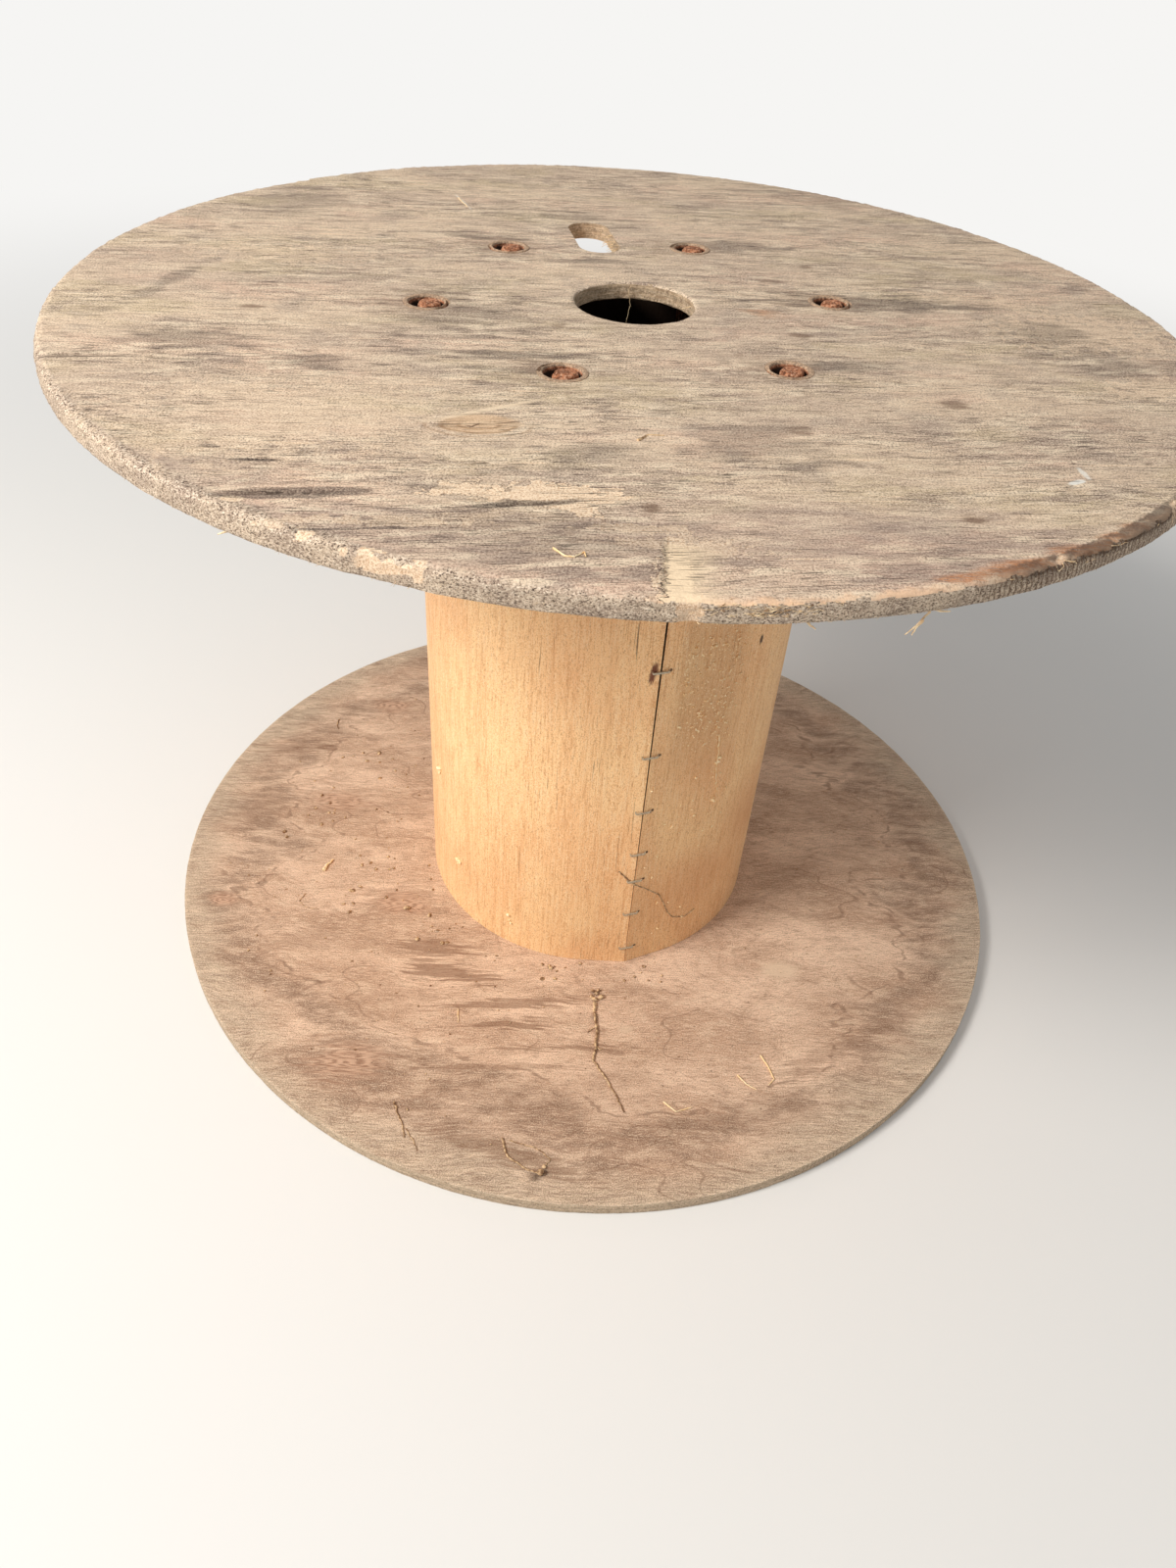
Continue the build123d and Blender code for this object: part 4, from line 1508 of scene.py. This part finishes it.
def strand(target, points, thick_mm, thin_mm, sides=5):
    """Draw a tapering tube through points given in metres."""
    points = [Vector(point) for point in points]
    one = bmesh.new()
    way = (points[1] - points[0]).normalized()
    facing = way.to_track_quat("Z", "Y").to_matrix().to_4x4()
    bmesh.ops.create_circle(one, cap_ends=True, segments=sides, radius=thick_mm / 2 * MM,
                            matrix=Matrix.Translation(points[0]) @ facing)
    edges = one.edges[:]
    shrink = (thin_mm / thick_mm) ** (1 / (len(points) - 1))
    for before, after in zip(points, points[1:]):
        verts, edges = pull_edges(one, edges)
        bmesh.ops.translate(one, vec=after - before, verts=verts)
        turn = way.rotation_difference(after - before).to_matrix()
        way = (after - before).normalized()
        bmesh.ops.rotate(one, cent=after, matrix=turn, verts=verts)
        bmesh.ops.scale(one, vec=(shrink, shrink, shrink), space=Matrix.Translation(-after),
                        verts=verts)
    close_ends(one)
    copy_into(target, one)


def lump(target, place, size_mm):
    """A broken crumb: an icosphere squashed and roughened."""
    one = bmesh.new()
    bmesh.ops.create_icosphere(one, subdivisions=1, radius=size_mm / 2 * MM)
    squash = (chance.uniform(0.6, 1.3), chance.uniform(0.5, 0.9), chance.uniform(0.35, 0.6))
    bmesh.ops.scale(one, vec=squash, verts=one.verts)
    roughen(one, size_mm * 0.6, size_mm * 0.12, chance.uniform(0, 50))
    copy_into(target, one, place, False, chance.uniform(0, 6))


def round_place(angle, radius_mm, height_mm):
    """A point by its angle in degrees, its radius and its height."""
    turn = math.radians(angle)
    return Vector((radius_mm * MM * math.cos(turn), radius_mm * MM * math.sin(turn), height_mm * MM))


def on_barrel(angle, height_mm, above_mm=0.4):
    """A point on the barrel, which stands out where the sheet springs up by its seam."""
    from_seam = abs(angle - math.degrees(seam_angle))
    bulge = math.cos(max(0.0, spring_angle - math.radians(from_seam)))
    return round_place(angle, barrel_radius / MM / bulge + above_mm, height_mm)


def in_metres(*points):
    return [Vector(point) * MM for point in points]


def crooked(points, wobble_mm, cuts):
    """The same path with more points, each a little off the line."""
    path = [points[0]]
    for before, after in zip(points, points[1:]):
        for step in range(1, cuts + 1):
            point = before.lerp(after, step / cuts)
            shift = Vector([chance.uniform(-wobble_mm, wobble_mm) * MM for axis in range(3)])
            shift.z *= 0.15
            path.append(point + (shift if step < cuts else Vector((0, 0, 0))))
    return path


# %% [markdown]
# Short pale fibres stand all round the rim. The longest splinters hang where it is chewed, at the
# front, and a row of fibres frays into the slot from its right side.

# %% Torn fibres
fray = bmesh.new()
flange_top_mm, flange_under_mm = top_face / MM, top_underside / MM
for count in range(260):
    angle = chance.uniform(-180, 180)
    height = chance.choice([flange_under_mm + 0.6, flange_under_mm + 1.5, flange_under_mm + 5])
    start = round_place(angle, 377.6, height)
    lean, length = chance.uniform(-0.35, 0.35), chance.uniform(1.2, 3.4)
    middle = round_place(angle + lean * 0.5, 378.6, height - 0.1 * length)
    end = round_place(angle + lean, 379.2, height - chance.uniform(-0.1, 0.6) * length)
    strand(fray, [start, middle, end], 0.32, 0.12, 3)
for count in range(70):
    angle = chance.uniform(-83, -75) if count < 50 else chance.uniform(-66, -44)
    height = chance.uniform(flange_under_mm + 2.5, flange_top_mm - 1.5)
    lean = chance.choice([-1, 1]) * chance.uniform(0.6, 1.7)
    path = [round_place(angle, 375.5, height),
            round_place(angle + lean * 0.4, 378.6, height + chance.uniform(-1.2, 1.2)),
            round_place(angle + lean * 0.8, 378.8, height + chance.uniform(-2.0, 2.0)),
            round_place(angle + lean, 377.2, height + chance.uniform(-2.5, 1.0))]
    strand(fray, path, 0.42, 0.2, 4)
splinters = [[(-67.2, 374, 514.6), (-67.4, 377, 512.5), (-68.3, 378.6, 508), (-69.1, 378.8, 503.6)],
             [(-67.9, 378.2, 510), (-68.4, 378.8, 506.4), (-68.5, 378.6, 502.6)],
             [(-67.3, 375, 514.2), (-66.6, 378, 513.2), (-65.9, 378.9, 513.0)],
             [(-118.2, 375, 515), (-118.6, 378.2, 513.6), (-119.1, 378.9, 511.8)],
             [(-76.6, 375, 514.4), (-76.4, 378.2, 512.8), (-76.0, 378.9, 511.2)]]
for path in splinters:
    strand(fray, crooked([round_place(*point) for point in path], 0.3, 3), 1.7, 0.6)
for count in range(26):
    height = chance.uniform(flange_under_mm + 1, flange_top_mm - 0.6)
    out = chance.uniform(128, 166)
    middle = round_place(math.degrees(slot_angle), out, height)
    right = Vector((math.sin(slot_angle), -math.cos(slot_angle), 0))
    start = middle + right * 17 * MM
    reach = chance.uniform(2, 8)
    drop = Vector((0, 0, -chance.uniform(0, 0.4) * reach * MM))
    along = Vector((0, chance.uniform(-0.3, 0.3) * reach * MM, 0))
    middle = start - right * (1 + reach * 0.5) * MM + along * 0.5
    end = start - right * (1 + reach) * MM + drop + along
    strand(fray, [start, middle, end], 0.7, 0.25, 4)
thread = in_metres((-4, 40, 524), (-5, 37, 521), (-3, 36, 512), (-5, 38, 498))
strand(fray, crooked(thread, 0.5, 4), 0.4, 0.3, 4)
chip = in_metres((40.2, 14, 522), (36, 13, 521), (32, 15, 519))
strand(fray, crooked(chip, 0.3, 3), 1.0, 0.4, 4)
finish_piece(fray, "torn_fibres", [fresh_fibre_finish], (), 60)

# %% [markdown]
# The dry roots lie on the bottom flange, and one climbs the barrel. The shavings and crumbs are
# paler: they lie on both flanges and stick to the barrel, mostly to the right of its seam.

# %% Dry roots and shavings
litter = bmesh.new()


def lay(points, thick_mm, thin_mm, wobble_mm=0.5, on_mm=bottom_face / MM):
    """A root or shaving that lies on a face, its points given in mm."""
    path = [Vector((x, y, on_mm + thick_mm * 0.38)) * MM for x, y in points]
    strand(litter, crooked(path, wobble_mm, 4), thick_mm, thin_mm)


lay([(17, -196), (17, -205), (21, -230), (19, -255), (30, -270), (40, -287), (46, -300)], 3.0, 1.0, 0.9)
lay([(19, -238), (24, -243), (27, -242)], 1.2, 0.6)
lay([(18, -222), (13, -227)], 1.2, 0.6)
lay([(-46, -331), (-40, -346), (-25, -355), (-14, -357)], 1.7, 1.1, 0.8)
lay([(-40, -332), (-22, -336), (-8, -345), (-12, -352)], 1.0, 0.7, 0.8)
lay([(-133, -308), (-130, -315), (-124, -325), (-120, -338)], 1.6, 0.8, 0.9)
lay([(-120, -330), (-112, -340), (-108, -348)], 0.9, 0.5, 0.6)
lay([(-283, 158), (-283, 148), (-280, 140)], 1.2, 0.7)
lay([(-255, -100), (-258, -110), (-250, -117), (-238, -118)], 0.8, 0.4)
for x, y in ((18, -186), (14, -190), (22, -190), (17, -193), (20, -183), (15, -184)):
    lump(litter, Vector((x, y, bottom_face / MM + 1.4)) * MM, chance.uniform(4.5, 6.5))
for x, y, size in ((-14, -357, 8), (-12, -352, 6), (-25, -161, 4), (2, -155, 4), (-295, -23, 5),
                   (-291, -30, 4), (-160, -108, 6)):
    lump(litter, Vector((x, y, bottom_face / MM + size * 0.2)) * MM, size)
dirt_heaps = [(-200, -55), (-262, 10), (-214, -108), (-128, -130), (-30, -166), (-235, 95), (-150, -60),
              (60, -160)]
for count in range(64):
    x, y = dirt_heaps[count % len(dirt_heaps)]
    spot = Vector((x + chance.gauss(0, 13), y + chance.gauss(0, 10), bottom_face / MM + 0.5)) * MM
    if math.hypot(spot.x, spot.y) > 158 * MM:
        lump(litter, spot, chance.uniform(2.4, 5.2))
for count in range(120):
    angle, out = chance.uniform(120, 250), chance.uniform(165, 345)
    place = round_place(angle, out, bottom_face / MM + 0.35)
    lump(litter, place, chance.uniform(1.0, 3.0))
for count in range(110):
    place = round_place(chance.uniform(-140, 20), chance.uniform(160, 360), bottom_face / MM + 0.3)
    lump(litter, place, chance.uniform(0.8, 2.0))
root_on_barrel = [(-79.7, 125.6), (-75, 112), (-70.3, 102), (-65, 89.6), (-62.5, 75), (-60.4, 61.5),
                  (-58, 53), (-53, 47), (-48.8, 50.5)]
path = [on_barrel(angle, height) for angle, height in root_on_barrel]
strand(litter, crooked(path, 0.3, 3), 1.3, 0.9)
for count in range(22):
    angle, height = chance.uniform(-83, -77), chance.uniform(516.5, 522.5)
    lean = chance.choice([-1, 1])
    length, climb = chance.uniform(0.8, 2.6), chance.uniform(-1.2, 1.6)
    hair = []
    for share in rows(0, 1, 4):
        out = 375.4 + 3.4 * math.sin(math.pi * min(share * 1.6, 1.0))
        hair.append(round_place(angle + lean * length * share, out, height + climb * lean * share * 2))
    strand(litter, crooked(hair, 0.2, 2), chance.uniform(0.6, 1.1), 0.4, 4)
stalk_height = top_face / MM - 0.3
stalk = in_metres((8, -221, stalk_height), (13, -213, stalk_height), (22, -212, stalk_height))
strand(litter, crooked(stalk, 0.2, 3), 2.2, 1.0)
finish_piece(litter, "dry_roots", [root_finish], (), 60)

litter = bmesh.new()
lay([(157, -235), (163, -246), (167, -257), (162, -263)], 1.5, 0.8, 0.3)
lay([(137, -256), (144, -264), (152, -268)], 1.4, 0.7, 0.3)
lay([(77, -287), (87, -295), (99, -290)], 1.6, 0.8, 0.3)
lay([(-245, -70), (-244, -62), (-240, -55)], 3.5, 1.5, 0.8)
lay([(-97, -215), (-95, -228)], 1.0, 0.6, 0.3)
lay([(-154, 224), (-150, 214), (-143, 200)], 0.9, 0.6, 0.3, on_mm=top_face / MM)
lay([(-27, -343), (-21, -349), (-17, -349), (-13, -344), (-12, -348)], 1.1, 0.6, 0.3,
    on_mm=top_face / MM - 0.2)
for count in range(150):
    angle, height = chance.uniform(-67, -47), chance.uniform(250, 350)
    if count > 100:
        angle, height = chance.uniform(-73, -42), chance.uniform(40, 350)
    start = on_barrel(angle, height, 0.3)
    if count % 2:
        lump(litter, start, chance.uniform(1.6, 3.4))
    else:
        end = on_barrel(angle + chance.uniform(-1, 1), height + chance.uniform(-2, 2),
                        chance.uniform(0.6, 1.8))
        strand(litter, [start, start.lerp(end, 0.5), end], chance.uniform(1.0, 1.7), 0.6, 4)
web = [(-52, 252), (-51.5, 240), (-50.6, 225), (-50, 205), (-48.6, 190), (-48, 178)]
path = [on_barrel(angle, height, 0.5) for angle, height in web]
strand(litter, crooked(path, 0.9, 4), 1.0, 0.6)
for angle, height in ((-152, 152), (-187, 75), (-115, 42), (-139, 72), (-50.6, 226), (-49, 182)):
    for count in range(4):
        place = on_barrel(angle + chance.uniform(-0.8, 0.8), height + chance.uniform(-5, 5), 0.4)
        lump(litter, place, chance.uniform(2.5, 5.5))
finish_piece(litter, "pale_shavings", [sawdust_finish], (), 60)

# %% [markdown]
# ## CAD nodes that stay
# The batten, the rods and the staples have the right shape already, so they only get a finish.

# %% Finishes for the CAD nodes
cad_finishes = {"seam_batten": batten_finish, "tie_rods": rod_finish, "seam_staples": staple_finish}
for node_name, finish in cad_finishes.items():
    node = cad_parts[node_name]
    node.data.materials.clear()
    node.data.materials.append(finish)

# %% [markdown]
# ## Floor
# A plain pale floor takes the shadow. It isn't part of the drum.

# %% Floor
floor_radius = 14.0
floor_mesh = bmesh.new()
bmesh.ops.create_circle(floor_mesh, cap_ends=True, segments=96, radius=floor_radius)
mesh = bpy.data.meshes.new("floor")
floor_mesh.to_mesh(mesh)
floor_mesh.free()
floor = bpy.data.objects.new("floor", mesh)
bpy.context.scene.collection.objects.link(floor)
floor_material, floor_tree, floor_place = start_finish("studio_floor")
end_finish(floor_tree, colour(236, 235, 232), 0.9, specular=0.1)
floor_out = floor_tree.nodes["Material Output"].inputs["Surface"]
floor_lit = outputs(floor_tree.nodes["Principled BSDF"])[0]
glow = {"Color": colour(246, 245, 243), "Strength": 1.0}
backdrop = add_node("ShaderNodeEmission", glow, floor_tree)[0]
seen = add_node("ShaderNodeLightPath", {}, floor_tree)["Is Camera Ray"]
far_share = fade(length_of(floor_place), 0.7, 2.6) * seen
plug(add_node("ShaderNodeMixShader", {0: far_share, 1: floor_lit, 2: backdrop})[0], floor_out)
mesh.materials.append(floor_material)
